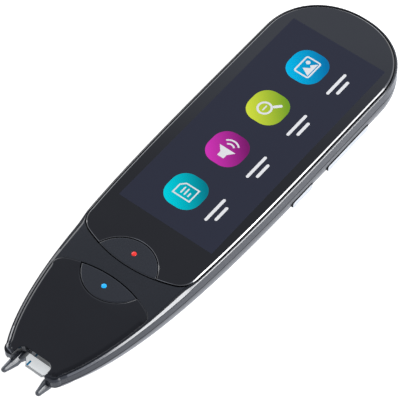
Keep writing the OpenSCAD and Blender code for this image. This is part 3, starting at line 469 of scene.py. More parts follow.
def plate(loops, low, top, edge, profile=ROUNDED, steep=1.0):
    """A plate through loops of (x, y). top is a height or a function of x and y, edge the width of
    each loop's top edge or a list with one for each point, and profile its steps inwards and down,
    where steep is how deep an edge is for its width."""
    height = top if callable(top) else (lambda x, y: top)
    edges = edge if isinstance(edge, list) else [edge] * len(loops)
    vertices, faces, base, tops = [], [], [], []
    for number, (loop, r) in enumerate(zip(loops, edges)):
        widths = r if isinstance(r, list) else [r] * len(loop)
        if (loop_area(loop) > 0) != (number == 0):
            loop, widths = loop[::-1], widths[::-1]
        n = len(loop)
        first = len(vertices)
        base.append((first, n))
        vertices += [(x, y, low) for x, y in loop]
        for across, down in profile:
            ring = stepped_in(loop, [w * across for w in widths])
            vertices += [(x, y, height(x, y) - down * w * steep) for (x, y), w in zip(ring, widths)]
        for k in range(len(profile)):
            faces += band(first + k * n, first + (k + 1) * n, n)
        tops.append((first + len(profile) * n, n))
    for starts, turned in ((tops, False), (base, True)):
        index = [s + i for s, n in starts for i in range(n)]
        rims = [[Vector((*vertices[s + i][:2], 0)) for i in range(n)] for s, n in starts]
        for tri in tessellate_polygon(rims):
            face = [index[i] for i in tri]
            faces.append(face[::-1] if turned else face)
    return vertices, faces


def joined(parts):
    """Several (vertices, faces) as one."""
    vertices, faces = [], []
    for v, f in parts:
        base = len(vertices)
        vertices += list(v)
        faces += [[base + i for i in face] for face in f]
    return vertices, faces


def round_box(cx, cy, w, h, r, steps=8):
    """A rectangle with round corners, as a loop round its middle."""
    out = []
    for sx, sy, a in ((1, 1, 0), (-1, 1, 90), (-1, -1, 180), (1, -1, 270)):
        out += arc(cx + sx * (w / 2 - r), cy + sy * (h / 2 - r), r, a, a + 90, steps)
    return out


# %% [markdown]
# ## Cover glass
# One sheet of black glass covers the face down to the waist. Its lower edge is a wide arc, its lower corners
# are round, and the upper crescent button sits in a bite out of that arc. The sheet's edge has a flat ground
# facet, which is the white line on the right. The facet gets a lighter copy of the glass that mirrors more: a
# painted highlight.

# %% Outline of the glass
# the face's height, the play round glass and cover, and how far in from the outline the glass ends
TOP = 12.5
GAP = 0.08
SIDE_IN = 0.6
# the wide arc, and the buttons' circle with the play round it
GLASS_LOW, GLASS_R = -29.0, 38.0
GLASS_MID = GLASS_LOW + GLASS_R
BUTTON_Y, BUTTON_R, BITE = -30.9, 9.4, 0.2
# the corner is tangent to the arc, and touches the side where the pen is as wide as at CORNER_SIDE_Y
CORNER_R, CORNER_SIDE_Y = 5.5, -20.9
CORNER_X = half_width(CORNER_SIDE_Y) - SIDE_IN - CORNER_R
CORNER_Y = GLASS_MID - math.sqrt((GLASS_R - CORNER_R) ** 2 - CORNER_X**2)
SIDE_START = CORNER_Y + 0.6
# the facet's width along the sides and along the arc
FACET, FACET_BELOW = 0.34, 0.12


def meet(r1, y1, r2, y2):
    """Where two circles centred on the pen's middle line cross, on the right side."""
    y = (r1**2 - r2**2 - y1**2 + y2**2) / (2 * (y2 - y1))
    return math.sqrt(max(0.0, r1**2 - (y - y1) ** 2)), y


def degrees_at(x, y, mid):
    """The direction in which (x, y) lies from (0, mid), in degrees."""
    return math.degrees(math.atan2(y - mid, x))


CORNER_TURN = degrees_at(CORNER_X, CORNER_Y, GLASS_MID)


def glass_corner(grow):
    """The lower right corner, from the wide arc to just past the side's start."""
    return arc(CORNER_X, CORNER_Y, CORNER_R + grow, CORNER_TURN, -2, 14)


def glass_loop(grow, bite=BITE):
    """The outline grown by grow, with the button's bite grown by bite, as (x, y, facet's width)."""
    x, y = meet(BUTTON_R + bite, BUTTON_Y, GLASS_R + grow, GLASS_MID)
    bite_points = arc(0, BUTTON_Y, BUTTON_R + bite, 90, degrees_at(x, y, BUTTON_Y), 30)
    lower = arc(0, GLASS_MID, GLASS_R + grow, degrees_at(x, y, GLASS_MID), CORNER_TURN, 14)
    corner = glass_corner(grow)
    wider = (FACET - FACET_BELOW) / len(corner)
    fade = [(*p, FACET_BELOW + wider * i) for i, p in enumerate(corner[1:])]
    side = [(*p, FACET) for p in right_edge(SIDE_IN - grow, SIDE_START)]
    return mirrored([(*p, FACET_BELOW) for p in bite_points + lower[1:]] + fade + side)


def without_widths(loop):
    """The (x, y) of a loop that also carries widths."""
    return [p[:2] for p in loop]


print("the glass's corners are at", round(CORNER_X, 2), round(CORNER_Y, 2))


# %% Cover glass
SHEET_IN, SHEET_LOW, SHEET_TOP = 0.26, 11.4, TOP - 0.05
# the facet's steps inwards and down, and how far its faces look upwards, from 0 to 1, which picks the faces
# with the painted highlight
GROUND = [(0.0, 0.72), (0.06, 0.62), (0.97, 0.02), (1.0, 0.0)]
FACET_SLOPE = (0.3, 0.985)


def split_paint(obj, first, second, test):
    """Two finishes on one piece: the second goes to the faces that the test picks by normal and centre."""
    paint(obj, first)
    obj.data.materials.append(second)
    for face in obj.data.polygons:
        face.material_index = 1 if test(face.normal, face.center / MM) else 0


sheet = glass_loop(-SHEET_IN)
facet = [p[2] for p in sheet]
glass_part = plate([without_widths(sheet)], SHEET_LOW, SHEET_TOP, [facet], GROUND)
glass = mesh_object("glass_sheet", *glass_part, smooth=25)
# the facet's faces get the painted highlight
split_paint(glass, glass_black, glass_facet_painted_highlight, lambda n, c: FACET_SLOPE[0] < n.z < FACET_SLOPE[1])
place(glass, "case", "cover_glass", None, "cover_glass")

# %% [markdown]
# ## Lit display
# The lit picture lies under the glass and is glued to it, so seen from outside it seems to be in the
# glass itself. It is drawn as three very thin layers on the sheet: the deep blue ground, four round
# tiles with a colour that drifts across each, and pale signs. It lies where it shows through the
# glass from the camera, a little off the panel's own place.

# %% Display ground
DISPLAY_Y, DISPLAY_W, DISPLAY_L = 21.9, 29.4, 70.6
PIC_X, PIC_Y = 0.32, -0.38
# the low and high side of each layer: above the sheet's face, but under the exact model's
LAYERS = {"ground": (12.452, 12.462), "tile": (12.463, 12.475), "sign": (12.476, 12.488)}
LAYER_EDGE = 0.002
TILE_SPAN, PANEL_SPAN = 0.0105, 0.12
LIT_GRAIN, LIT_WOBBLE = 3000.0, 0.05


def lit(name, colours, across=(0.0, 0.0, 0.0), turn=0.0, span=TILE_SPAN, glow=0.20):
    """A lit surface under gloss, whose colour drifts from the first colour to the last over span, in
    metres. A fine noise roughens the drift."""
    material = bpy.data.materials.new(name)
    t = bare_tree(material)
    where = t.nodes.new("ShaderNodeTexCoord").outputs["Object"]
    local = node(t, "ShaderNodeMapping", Vector=where, Location=across, Rotation=(0, 0, turn)).outputs[0]
    along = node(t, "ShaderNodeSeparateXYZ", Vector=local).outputs["X"]
    fine = node(t, "ShaderNodeTexNoise", Vector=where, Scale=LIT_GRAIN)
    wobble = math_node(t, "MULTIPLY", fine.outputs["Fac"], span * LIT_WOBBLE)
    from_start = math_node(t, "ADD", math_node(t, "ADD", along, span / 2), wobble)
    colour = ramp(t, math_node(t, "DIVIDE", from_start, span), colours)
    shader = node(t, "ShaderNodeBsdfPrincipled", Base_Color=colour, Roughness=0.05,
                  Emission_Color=colour, Emission_Strength=glow, IOR=1.1)
    node(t, "ShaderNodeOutputMaterial", Surface=shader.outputs[0])
    return material


def layer(name, loops):
    """A very thin plate at one layer of the picture."""
    return plate(loops, *LAYERS[name], LAYER_EDGE, [(0, 1), (1, 0)])


ground = lit("display_navy", [(0.0, (0.0245, 0.0270, 0.0435)), (1.0, (0.0252, 0.0280, 0.0445))],
             turn=math.pi / 2, span=PANEL_SPAN, glow=0.15)
face = round_box(PIC_X, DISPLAY_Y + PIC_Y, DISPLAY_W, DISPLAY_L, 0.25, 3)
place(mesh_object("display_ground", *layer("ground", [face])), "case", "display_face", ground)

# %% [markdown]
# The signs and the pair of dashes below each tile are plain ones of this script's own: a page, a
# speaker, a magnifier and a picture. A sign is a list of shapes, and a shape is an outline with its
# holes, in millimetres as the reader sees them.

# %% Signs
def bars(*places):
    """Plain bars with round ends: (x, y, length, height, turn in degrees)."""
    out = []
    for x, y, length, height, turn in places:
        c, s = math.cos(math.radians(turn)), math.sin(math.radians(turn))
        bar = round_box(0, 0, length, height, height * 0.499, 4)
        out.append([[(x + u * c - v * s, y + u * s + v * c) for u, v in bar]])
    return out


def page_sign():
    outer = [(-2.2, -2.8), (2.2, -2.8), (2.2, 1.5), (0.9, 2.8), (-2.2, 2.8)]
    inner = [(-1.8, -2.4), (1.8, -2.4), (1.8, 1.3), (0.7, 2.4), (-1.8, 2.4)]
    lines = bars((0, 0.9, 2.2, 0.42, 0), (0, -0.2, 2.2, 0.42, 0), (-0.4, -1.3, 1.4, 0.42, 0))
    return [[outer, inner]] + lines


def speaker_sign():
    horn = [(-2.9, -1.0), (-1.6, -1.0), (0.1, -2.5), (0.1, 2.5), (-1.6, 1.0), (-2.9, 1.0)]
    waves = [[arc(0.2, 0, r + 0.24, -48, 48, 12) + arc(0.2, 0, r - 0.24, 48, -48, 12)] for r in (1.5, 2.7)]
    return [[horn]] + waves


def magnifier_sign():
    ring = [circle(-0.6, 0.6, 2.1), circle(-0.6, 0.6, 1.5)]
    return [ring] + bars((1.75, -1.75, 2.6, 0.85, -45), (-0.6, 0.6, 1.9, 0.4, 0))


def picture_sign():
    border = [round_box(0, 0, 6.0, 4.8, 0.7, 4), round_box(0, 0, 5.1, 3.9, 0.35, 4)]
    hills = [(-2.3, -1.7), (2.3, -1.7), (0.9, -0.2), (0.2, -0.8), (-0.9, 0.9)]
    return [border, [circle(1.3, 0.8, 0.62, 24)], [hills]]


def dashes():
    """The pair of dashes that stands below every tile."""
    return bars((0, -9.2, 8.0, 0.85, 0), (0, -11.2, 5.0, 0.85, 0))


print("the page sign has", len(page_sign()), "shapes")

# %% Tiles
TILE, TILE_R = 10.4, 4.2
TILE_X = -2.0 + PIC_X
TILE_TURN = math.radians(-45)
# each tile: its sign's name, its place along the pen, its two colours from corner to corner, its sign
TILES = (
    ("page", -2.72, ((0.0003, 0.51, 0.60), (0.0012, 0.155, 0.205)), page_sign),
    ("speaker", 13.68, ((0.50, 0.029, 0.37), (0.150, 0.009, 0.112)), speaker_sign),
    ("magnifier", 30.08, ((0.51, 0.58, 0.044), (0.140, 0.275, 0.018)), magnifier_sign),
    ("picture", 46.48, ((0.0005, 0.375, 0.65), (0.001, 0.130, 0.315)), picture_sign),
)


def on_display(y, loop):
    """A loop from the reader's own directions, x to the right and y up, round the tile at y."""
    return [(TILE_X - b, y + a) for a, b in loop]


sign_paint = lit("sign_white", [(0.0, (0.62, 0.63, 0.66)), (1.0, (0.68, 0.69, 0.72))], glow=0.1)
for name, along_pen, (start, end), sign in TILES:
    y = along_pen + PIC_Y
    shift = Vector((-TILE_X * MM, -y * MM, 0))
    shift.rotate(Matrix.Rotation(TILE_TURN, 3, "Z"))
    colour = lit("tile_" + name, [(0.0, start), (1.0, end)], tuple(shift), TILE_TURN)
    tile = layer("tile", [round_box(TILE_X, y, TILE, TILE, TILE_R, 10)])
    place(mesh_object("tile_" + name + "_plate", *tile), "case", "display_face", colour)
    shapes = [[on_display(y, loop) for loop in shape] for shape in sign() + dashes()]
    drawn = joined([layer("sign", shape) for shape in shapes])
    place(mesh_object("sign_" + name, *drawn), "case", "display_face", sign_paint)

# %% [markdown]
# ## Front frame
# The frame is the dark rim round glass and nose, with the waist band between them. It is one plate
# with two pockets. Beside the glass its edge is a narrow facet. Along the nose the whole rim slopes
# outwards and turns down at the end, so the width of the edge is a number for each point, and the
# left side's is a little more than the right's at the tip. First come the lines that the frame
# shares with the nose cover and the buttons.

# %% Lines of the nose
# the heights of the rim and of the line where the case parts
RIM, PARTING = 12.2, 8.9
# where the nose's top begins to fall, and how fast
FALL_Y, FALL = -26.6, 0.023
# the waist's lower arc, and the notch with its round corners
WAIST_R, WAIST_TOP = 31.0, -33.2
WAIST_MID = WAIST_TOP - WAIST_R
NOTCH_X, NOTCH_Y, NOTCH_R = 5.0, -60.9, 1.8
# how far in from the outline the cover ends, and how much its upper corners lose
COVER_IN = 1.3
CORNER_CUT = 2.4


def fall(y):
    """How far the nose's top has fallen at y."""
    return max(0.0, FALL_Y - y) * FALL


def nose_top(below):
    """The falling height of the nose's top, less below, as a function of x and y."""
    return lambda x, y: RIM - below - fall(y)


def notch_side(low):
    """The notch's right half, from the middle of its arch down to y = low."""
    x = NOTCH_X - NOTCH_R
    top = [(x * i / 5, NOTCH_Y) for i in range(5)]
    return top + arc(x, NOTCH_Y - NOTCH_R, NOTCH_R, 90, 0, 12) + [(NOTCH_X, low)]


def soft_corner(first, second):
    """Two lines that meet, with their corner rounded off."""
    tip = Vector(first[-1][:2])
    a = [p for p in first if (Vector(p[:2]) - tip).length > CORNER_CUT]
    b = [p for p in second if (Vector(p[:2]) - tip).length > CORNER_CUT]
    start = tip + (Vector(a[-1][:2]) - tip).normalized() * CORNER_CUT
    stop = tip + (Vector(b[0][:2]) - tip).normalized() * CORNER_CUT
    bend = [start.lerp(tip, k / 8).lerp(tip.lerp(stop, k / 8), k / 8) for k in range(9)]
    return a + [tuple(p) for p in bend] + b


def waist_cut(d, r):
    """Where the waist's lower arc of radius r meets the outline drawn in by d. Each guess of y gives
    the outline's width there, and the arc at that width gives the next guess."""
    y = -40.0
    for _ in range(40):
        y = WAIST_MID + math.sqrt(r**2 - half_width(y, d) ** 2)
    return y


def nose_line(d, r, start, steps, clear):
    """The right half of a line round the nose, drawn in by d: the waist's arc of radius r from the
    direction start, a soft corner, and the side down to where it is clear of the notch."""
    y = waist_cut(d, r)
    side = [p for p in right_edge(d) if p[1] < y - 0.1 and p[0] > NOTCH_X + clear][::-1]
    stop = degrees_at(half_width(y, d), y, WAIST_MID)
    return soft_corner(arc(0, WAIST_MID, r, start, stop, steps), side)


print("the waist ends at y =", round(waist_cut(COVER_IN, WAIST_R), 2))


# %% Outlines of nose cover and buttons
def cover_loop(grow=0.0, bite=BITE):
    """The nose cover's outline, with the lower button's bite and the notch."""
    r = WAIST_R - 0.1 + grow
    x, y = meet(BUTTON_R + bite, BUTTON_Y, r, WAIST_MID)
    bite_points = arc(0, BUTTON_Y, BUTTON_R + bite, -90, degrees_at(x, y, BUTTON_Y), 26)
    line = nose_line(COVER_IN - grow, r, degrees_at(x, y, WAIST_MID), 40, 0.3)
    low = line[-1][1]
    foot = [(NOTCH_X + 0.2, low - 0.02), (NOTCH_X, low + 0.2)]
    notch = [p for p in notch_side(low) if p[1] > low + 0.3][::-1]
    return mirrored(bite_points + line[1:] + foot + notch)


def crescent(upper, grow=0.0):
    """A crescent button's outline: the part of one circle that the glass's or the waist's arc cuts off."""
    r, mid = (GLASS_R - 0.1, GLASS_MID) if upper else (WAIST_R - 0.2, WAIST_MID)
    x, y = meet(BUTTON_R + grow, BUTTON_Y, r + grow, mid)
    on_button, on_arc = degrees_at(x, y, BUTTON_Y), degrees_at(x, y, mid)
    if upper:
        inner = arc(0, mid, r + grow, -90, on_arc, 16)
        return mirrored(inner + arc(0, BUTTON_Y, BUTTON_R + grow, on_button, 90, 36)[1:])
    inner = arc(0, mid, r + grow, on_arc, 90, 16)
    return mirrored(arc(0, BUTTON_Y, BUTTON_R + grow, -90, on_button, 36) + inner[1:])


print("the cover's outline has", len(cover_loop()), "points")

# %% Outline of the rim
# widths of the sloping edge, and the two stretches along which one width turns into the next
EDGE_GLASS, EDGE_WAIST, EDGE_TIP_RIGHT, EDGE_TIP_LEFT = 0.44, 1.65, 0.95, 1.18
GLASS_TO_WAIST, TIP_TO_WAIST = (-21.5, 5.0), (-42.0, 17.0)


def eased(t):
    """0 below 0, 1 above 1 and a soft rise between."""
    t = min(1.0, max(0.0, t))
    return t * t * (3 - 2 * t)


def edge_width(x, y):
    """The sloping edge's width: narrow beside the glass, broadest at the waist, less at the tip."""
    tip = EDGE_TIP_RIGHT if x > 0 else EDGE_TIP_LEFT
    start, length = TIP_TO_WAIST
    nose = tip + (EDGE_WAIST - tip) * eased((y - start) / length)
    start, length = GLASS_TO_WAIST
    return EDGE_GLASS + (nose - EDGE_GLASS) * eased((start - y) / length)


def rim_loop():
    """Outer line and cover pocket as one loop, because the notch joins them, as (x, y, edge's width).
    The pocket's own edge is fine, and the outer line, marked None until here, slopes."""
    pocket = nose_line(COVER_IN - GAP, WAIST_R - 0.02, 90, 60, 0.35)
    low = pocket[-1][1]
    foot = [(NOTCH_X, low, 0.08), (NOTCH_X, NOSE + 0.25, 0.12), (NOTCH_X + 0.25, NOSE, 0.5)]
    outer = [(x, y, None) for x, y in right_edge(0.0) if x > NOTCH_X + 0.3 or y > 0]
    whole = mirrored([(*p, 0.08) for p in pocket] + foot + outer)
    return [(x, y, edge_width(x, y) if width is None else width) for x, y, width in whole]


glass_pocket = mirrored(
    arc(0, GLASS_MID, GLASS_R + GAP, -90, CORNER_TURN, 30)
    + glass_corner(GAP)[1:]
    + right_edge(SIDE_IN - GAP, SIDE_START)
)
rim_line = rim_loop()
rim, rim_widths = without_widths(rim_line), [p[2] for p in rim_line]
print("the rim's edge is", round(max(rim_widths), 2), "mm wide at most")

# %% [markdown]
# The rim is one plate, but its slope mirrors other things on the right than on the left. Its finish is one
# dark grey, and by side some rings get lighter or darker copies of it: painted light on the walls and the
# right side's outer slope, a painted highlight on the right bevel and a strip by the left tip, and a painted
# shade on the left side's outer slope. The plate's faces come ring by ring, first the wall and then one ring
# for each step of the slope, and a face's number tells its ring. Two ledges under the pockets carry the glass
# and the nose cover.

# %% Front frame
# the slope's steps inwards and down, its depth for its width, and how wide an edge has to be to slope
RIM_STEPS = [(0.0, 1.04), (0.08, 0.77), (0.50, 0.235), (0.74, 0.088), (1.0, 0.0)]
RIM_STEEP, SLOPES_FROM = 0.72, 0.25
LEDGE_BITE = 0.8
GLASS_LEDGE, COVER_LEDGE = (10.3, 11.3), (9.2, 10.15)
PANEL_HOLE = round_box(0, 21.1, 31.9, 74.7, 0.4, 3)
# a plate's edge and steps when it has no soft edge
PLAIN = (0.0, [(0, 0)])
# where along the nose the painted highlight and the painted shade begin or end
PAINTED_HIGHLIGHT_FROM, TIP_PAINTED_HIGHLIGHT_TO, PAINTED_SHADE_FROM = -61.5, -58, -34
glass_ledge = [without_widths(glass_loop(GAP, LEDGE_BITE)), PANEL_HOLE]
frame_points, frame_faces = joined([
    plate([rim, glass_pocket], PARTING, nose_top(0.0), [rim_widths, 0.05], RIM_STEPS, RIM_STEEP),
    plate(glass_ledge, *GLASS_LEDGE, *PLAIN),
    plate([cover_loop(GAP, LEDGE_BITE)], *COVER_LEDGE, *PLAIN),
])
count = len(rim)
sloping = [width > SLOPES_FROM for width in rim_widths]
outside = {i for i in range(count) if sloping[i] and sloping[(i + 1) % count]}
backwards = loop_area(rim) < 0
wall_faces = {count - 2 - i if backwards else i for i in outside}


def on_slope(i, ring, hand, low=NOSE - 1, high=END + 1):
    """Whether face i is in that ring of the slope, on the right (1) or left (-1), between two ys."""
    x, y = frame_points[frame_faces[i][0]][:2]
    return i - count * ring in wall_faces and x * hand > 0 and low < y < high


# the walls and the right outer rings get painted light, the right bevel and a strip by the left tip a painted
# highlight, and the left outer rings a painted shade
front = mesh_object("front_frame_rim", frame_points, frame_faces, smooth=11, finishes=[
    (rim_grey, lambda i: True),
    (rim_painted_light_side, lambda i: i in wall_faces or on_slope(i, 1, 1) or on_slope(i, 2, 1)),
    (rim_painted_highlight, lambda i: on_slope(i, 2, 1, low=PAINTED_HIGHLIGHT_FROM) or on_slope(i, 3, -1, high=TIP_PAINTED_HIGHLIGHT_TO)),
    (rim_painted_shade, lambda i: on_slope(i, 1, -1) or on_slope(i, 2, -1) or on_slope(i, 3, -1, low=PAINTED_SHADE_FROM)),
])
place(front, "case", "rim_grey", None, "front_frame")

# %% [markdown]
# ## Nose cover and crescent buttons
# The nose cover is a glossy plate whose top falls with the rim. Its soft edge is broad beside the
# rim and narrow elsewhere, and it sits a hair off centre, as a part that is glued in by hand may.
# The two buttons share one circle that the waist band cuts in two. Each has a softly rounded edge
# and a small coloured lens, turned on a lathe: a profile that goes round an axis.

# %% Nose cover
OFF_CENTRE = 0.05
# its underside's height, and how far its top lies below the rim
COVER_LOW, COVER_BELOW = 10.2, 0.03
# the soft edge's steps inwards and down, its widths, and where the broad ones end
COVER_STEPS = [(0.0, 0.24), (0.03, 0.205), (0.40, 0.085), (0.80, 0.006), (1.0, 0.0)]
SOFT_RIGHT, SOFT_LEFT, SOFT_ELSE = 1.2, 0.75, 0.22
NOTCH_CLEAR = 6.2
SOFT_SIDES_TOP = waist_cut(COVER_IN, WAIST_R) - 2.0


def cover_width(x, y):
    """The width of the cover's soft edge."""
    if abs(x) <= NOTCH_CLEAR or y >= SOFT_SIDES_TOP:
        return SOFT_ELSE
    return SOFT_RIGHT if x > 0 else SOFT_LEFT


outline = [(x - OFF_CENTRE, y) for x, y in cover_loop()]
cover_widths = [cover_width(x, y) for x, y in outline]
cover_part = plate([outline], COVER_LOW, nose_top(COVER_BELOW), [cover_widths], COVER_STEPS)
cover = mesh_object("nose_cover_plate", *cover_part, smooth=30)
place(cover, "case", "nose_gloss", nose_gloss, "nose_cover")


# %% Turned parts
def lathe(profile, n=40, cx=0.0, cy=0.0):
    """A closed profile of (radius, z) turned round an upright axis."""
    turns = [2 * math.pi * i / n for i in range(n)]
    vertices = [(cx + r * math.cos(a), cy + r * math.sin(a), z) for r, z in profile for a in turns]
    faces = []
    for k in range(len(profile)):
        after = (k + 1) % len(profile)
        if profile[k][0] or profile[after][0]:
            faces += band(k * n, after * n, n)
    return vertices, faces


def tube(inner, outer, low, high, n=40, cx=0.0, cy=0.0):
    """An upright tube, or a rod where inner is 0."""
    return lathe([(inner, low), (outer, low), (outer, high), (inner, high)], n, cx, cy)


print("a rod of 40 sides has", len(tube(0, 1, 0, 1)[1]), "faces")

# %% Buttons
DOT_OUT = 5.7
STEM_R, STEM_LOW = 1.0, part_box("upper_button")[0][2] / MM
HOLE_R, LENS_R, LENS_CROWN, LENS_RINGS = 0.72, 0.66, 0.1, 8
BUTTON_STEPS = ROUNDED + [(1.4, 0.0)]
LOWER_TOP = RIM - 0.02 - fall(BUTTON_Y - DOT_OUT)
# each button: name, whether it is the upper one, its dot's way out, low, top, and the dot's finish
BUTTONS = (
    ("upper", True, DOT_OUT, 10.9, TOP - 0.10, "dot_red", dot_red),
    ("lower", False, -DOT_OUT, 9.7, LOWER_TOP, "dot_blue", dot_blue),
)


def lens_profile(low, top):
    """Half the section of a small round lens with a crowned top."""
    turns = [math.radians(90 * k / LENS_RINGS) for k in range(1, LENS_RINGS)]
    crown = [(LENS_R * math.cos(t), top + LENS_CROWN * math.sin(t)) for t in turns]
    return [(0, low), (LENS_R, low), (LENS_R, top)] + crown + [(0, top + LENS_CROWN)]


for name, upper, dot_out, low, top, dot_slot, dot_paint in BUTTONS:
    dot_y = BUTTON_Y + dot_out
    button = joined([
        plate([crescent(upper), circle(0, dot_y, HOLE_R)], low + 0.2, top, [0.26, 0.05], BUTTON_STEPS),
        plate([crescent(upper, 0.6)], low, low + 0.4, 0.05),
        plate([circle(0, dot_y, STEM_R)], STEM_LOW, low + 0.1, 0.1),
    ])
    body = name + "_button"
    place(mesh_object(name + "_crescent", *button), body, "button_gloss", button_gloss, body)
    dot = mesh_object(name + "_dot_lens", *lathe(lens_profile(top - 0.4, top - 0.08), 40, 0, dot_y))
    place(dot, body, dot_slot, dot_paint, name + "_dot")

# %% [markdown]
# ## A recipe for pieces that repeat
# Screws, posts and holes are one small shape set at several places. Geometry Nodes suits that: the
# tree below takes the places as loose points, puts the piece on each, turns it a little further
# from one to the next, and makes real geometry of the copies, because an export drops copies that
# are only pointed at. The piece, its turn, its size and its finish are named inputs, so one tree
# serves every repeated piece.

# %% Helpers for Geometry Nodes
def socket_id(tree, name):
    """The identifier of a tree's input, by its name."""
    return next(i.identifier for i in tree.interface.items_tree if i.name == name and i.in_out == "INPUT")


def new_tree(name, inputs):
    """A Geometry Nodes tree with a geometry input and output and these named inputs."""
    t = bpy.data.node_groups.new(name, "GeometryNodeTree")
    t.interface.new_socket("Geometry", in_out="INPUT", socket_type="NodeSocketGeometry")
    for label, kind in inputs:
        t.interface.new_socket(label, in_out="INPUT", socket_type="NodeSocket" + kind)
    t.interface.new_socket("Geometry", in_out="OUTPUT", socket_type="NodeSocketGeometry")
    return t, t.nodes.new("NodeGroupInput").outputs


def last_steps(t, geometry, material):
    """Every tree ends in real geometry with a material."""
    real = node(t, "GeometryNodeRealizeInstances", Geometry=geometry)
    painted = node(t, "GeometryNodeSetMaterial", Geometry=real.outputs[0], Material=material)
    node(t, "NodeGroupOutput", _0=painted.outputs[0])
    print("tree", t.name, "has", len(t.nodes), "nodes")


def run_tree(obj, t, smooth=40, **values):
    """Gives an object the tree with these inputs and turns the result into a plain mesh."""
    modifier = obj.modifiers.new(t.name, "NODES")
    modifier.node_group = t
    for label, value in values.items():
        modifier[socket_id(t, label.replace("_", " "))] = value
    return plain_copy(obj, smooth)


# %% Tree for repeated pieces
repeat_tree, given = new_tree("repeated_piece", [
    ("Piece", "Object"), ("Turn", "Float"), ("Size", "Float"), ("Finish", "Material"),
])
info = node(repeat_tree, "GeometryNodeObjectInfo", Object=given["Piece"])
number = repeat_tree.nodes.new("GeometryNodeInputIndex").outputs[0]
further = math_node(repeat_tree, "MULTIPLY", number, given["Turn"])
angle = node(repeat_tree, "ShaderNodeCombineXYZ", Z=further)
spin = node(repeat_tree, "FunctionNodeEulerToRotation", Euler=angle.outputs[0])
size = node(repeat_tree, "ShaderNodeCombineXYZ", X=given["Size"], Y=given["Size"], Z=given["Size"])
copies = node(repeat_tree, "GeometryNodeInstanceOnPoints", Points=given["Geometry"],
              Instance=info.outputs["Geometry"], Rotation=spin.outputs[0], Scale=size.outputs[0])
last_steps(repeat_tree, copies.outputs[0], given["Finish"])


def loose_points(name, places):
    """An object of loose points at these places."""
    points = bpy.data.meshes.new(name)
    points.from_pydata(places, [], [])
    return new_object(name, points)


def repeated(name, piece, places, material, turn=0.0, size=1.0):
    """One object with the piece, as (vertices, faces), at every place."""
    one = mesh_object(name + "_one", *piece)
    obj = loose_points(name, [Vector(p) * MM for p in places])
    run_tree(obj, repeat_tree, Piece=one, Turn=turn, Size=size, Finish=material)
    bpy.data.objects.remove(one)
    print(name, "at", len(places), "places")
    return obj


# %% Posts and pegs under the front frame
CASE_SCREWS = [(side * x, y, 0) for side in (-1, 1) for x, y in ((7.17, 60.45), (9.406, -24.3))]
PEG_PLACES = [(side * 6.1, y, 8.7) for side in (-1, 1) for y in (-18.65, -41.1)]
bosses = repeated("frame_bosses", tube(0.75, 1.8, 3.4, 10.4), CASE_SCREWS, rim_grey)
place(bosses, "case", "rim_grey", rim_grey)
peg = lathe([(0.0, 0), (0.72, 0), (0.8, 0.08), (0.8, 0.75), (0.0, 0.75)], 24)
place(repeated("frame_pegs", peg, PEG_PLACES, rim_grey), "case", "rim_grey", rim_grey)

# %% [markdown]
# ## Rear housing
# The tub that wraps the back and sides is the main piece, and its whole shape follows one rule: the
# outline, drawn in level by level on a quarter of an ellipse. So it is a Geometry Nodes tree. A flat
# grid gets one column for each step round the outline and one row for each level, and the tree moves
# every point of it by the rule. The levels come in as loose points that hold three numbers each. A
# small class lets the tree's numbers be added and multiplied like plain ones, so that the rule reads
# like the function half_width above.

# %% Arithmetic on fields
def stepper(operation, turned=False):
    """A method that does one step of arithmetic, with its two numbers turned round if asked."""
    return lambda self, other: self.step(operation, other, turned)


class Field:
    """A number in a node tree that can be reckoned with like a plain one."""

    def __init__(self, t, socket):
        self.t, self.socket = t, socket

    def step(self, operation, other=None, turned=False):
        value = other.socket if isinstance(other, Field) else other
        pair = (value, self.socket) if turned else (self.socket, value)
        return Field(self.t, math_node(self.t, operation, *pair))

    __add__, __mul__ = stepper("ADD"), stepper("MULTIPLY")
    __sub__, __rsub__ = stepper("SUBTRACT"), stepper("SUBTRACT", True)
    __truediv__, __rtruediv__ = stepper("DIVIDE"), stepper("DIVIDE", True)
    __pow__, over = stepper("POWER"), stepper("GREATER_THAN")
    most, least = stepper("MAXIMUM"), stepper("MINIMUM")

    def within(self):
        """The number itself, but never below 0 or above 1."""
        return self.most(0.0).least(1.0)


# %% Tree for the tub: which level and which step round the outline
SIZES = ["Half width", "Rounded end", "Nose", "Round length", "Taper start", "Taper length"]
SIZES += ["Corner", "Belly"]
tub_tree, given = new_tree("tub", [
    ("Columns", "Int"), ("Rows", "Int"), *((label, "Float") for label in SIZES), ("Finish", "Material"),
])
t = tub_tree
columns, rows, half, end, nose, round_l, taper_y, taper_l, corner, belly = (
    Field(t, given[label]) for label in ["Columns", "Rows"] + SIZES
)
grid = node(t, "GeometryNodeMeshGrid", Size_X=1.0, Size_Y=1.0, Vertices_X=given["Columns"],
            Vertices_Y=given["Rows"])
where = t.nodes.new("GeometryNodeInputPosition").outputs[0]
flat = node(t, "ShaderNodeSeparateXYZ", Vector=where)
row = ((Field(t, flat.outputs["Y"]) + 0.5) * (rows - 1)).step("ROUND")
level = t.nodes.new("GeometryNodeSampleIndex")
level.data_type = "FLOAT_VECTOR"
for socket, label in ((given["Geometry"], "Geometry"), (where, "Value"), (row.socket, "Index")):
    t.links.new(socket, level.inputs[label])
three = node(t, "ShaderNodeSeparateXYZ", Vector=level.outputs[0])
tuck, extra, z = (Field(t, three.outputs[k]) for k in "XYZ")

half_count = (columns - 1) * 0.5
round_trip = (Field(t, flat.outputs["X"]) + 0.5) * 2.0
out_and_back = 1.0 - (1.0 - round_trip).step("ABSOLUTE")
one_step = 1.0 / half_count
along = ((out_and_back - one_step) / (1.0 - one_step)).within()
hand = (1.0 - round_trip).step("SIGN")
# the first and last rows and columns shrink to the middle line, which closes the tub
shown = out_and_back.over(one_step * 0.5) * row.over(0.5) * (rows - 1.5 - row).over(0.0)
print("the tree so far has", len(t.nodes), "nodes")

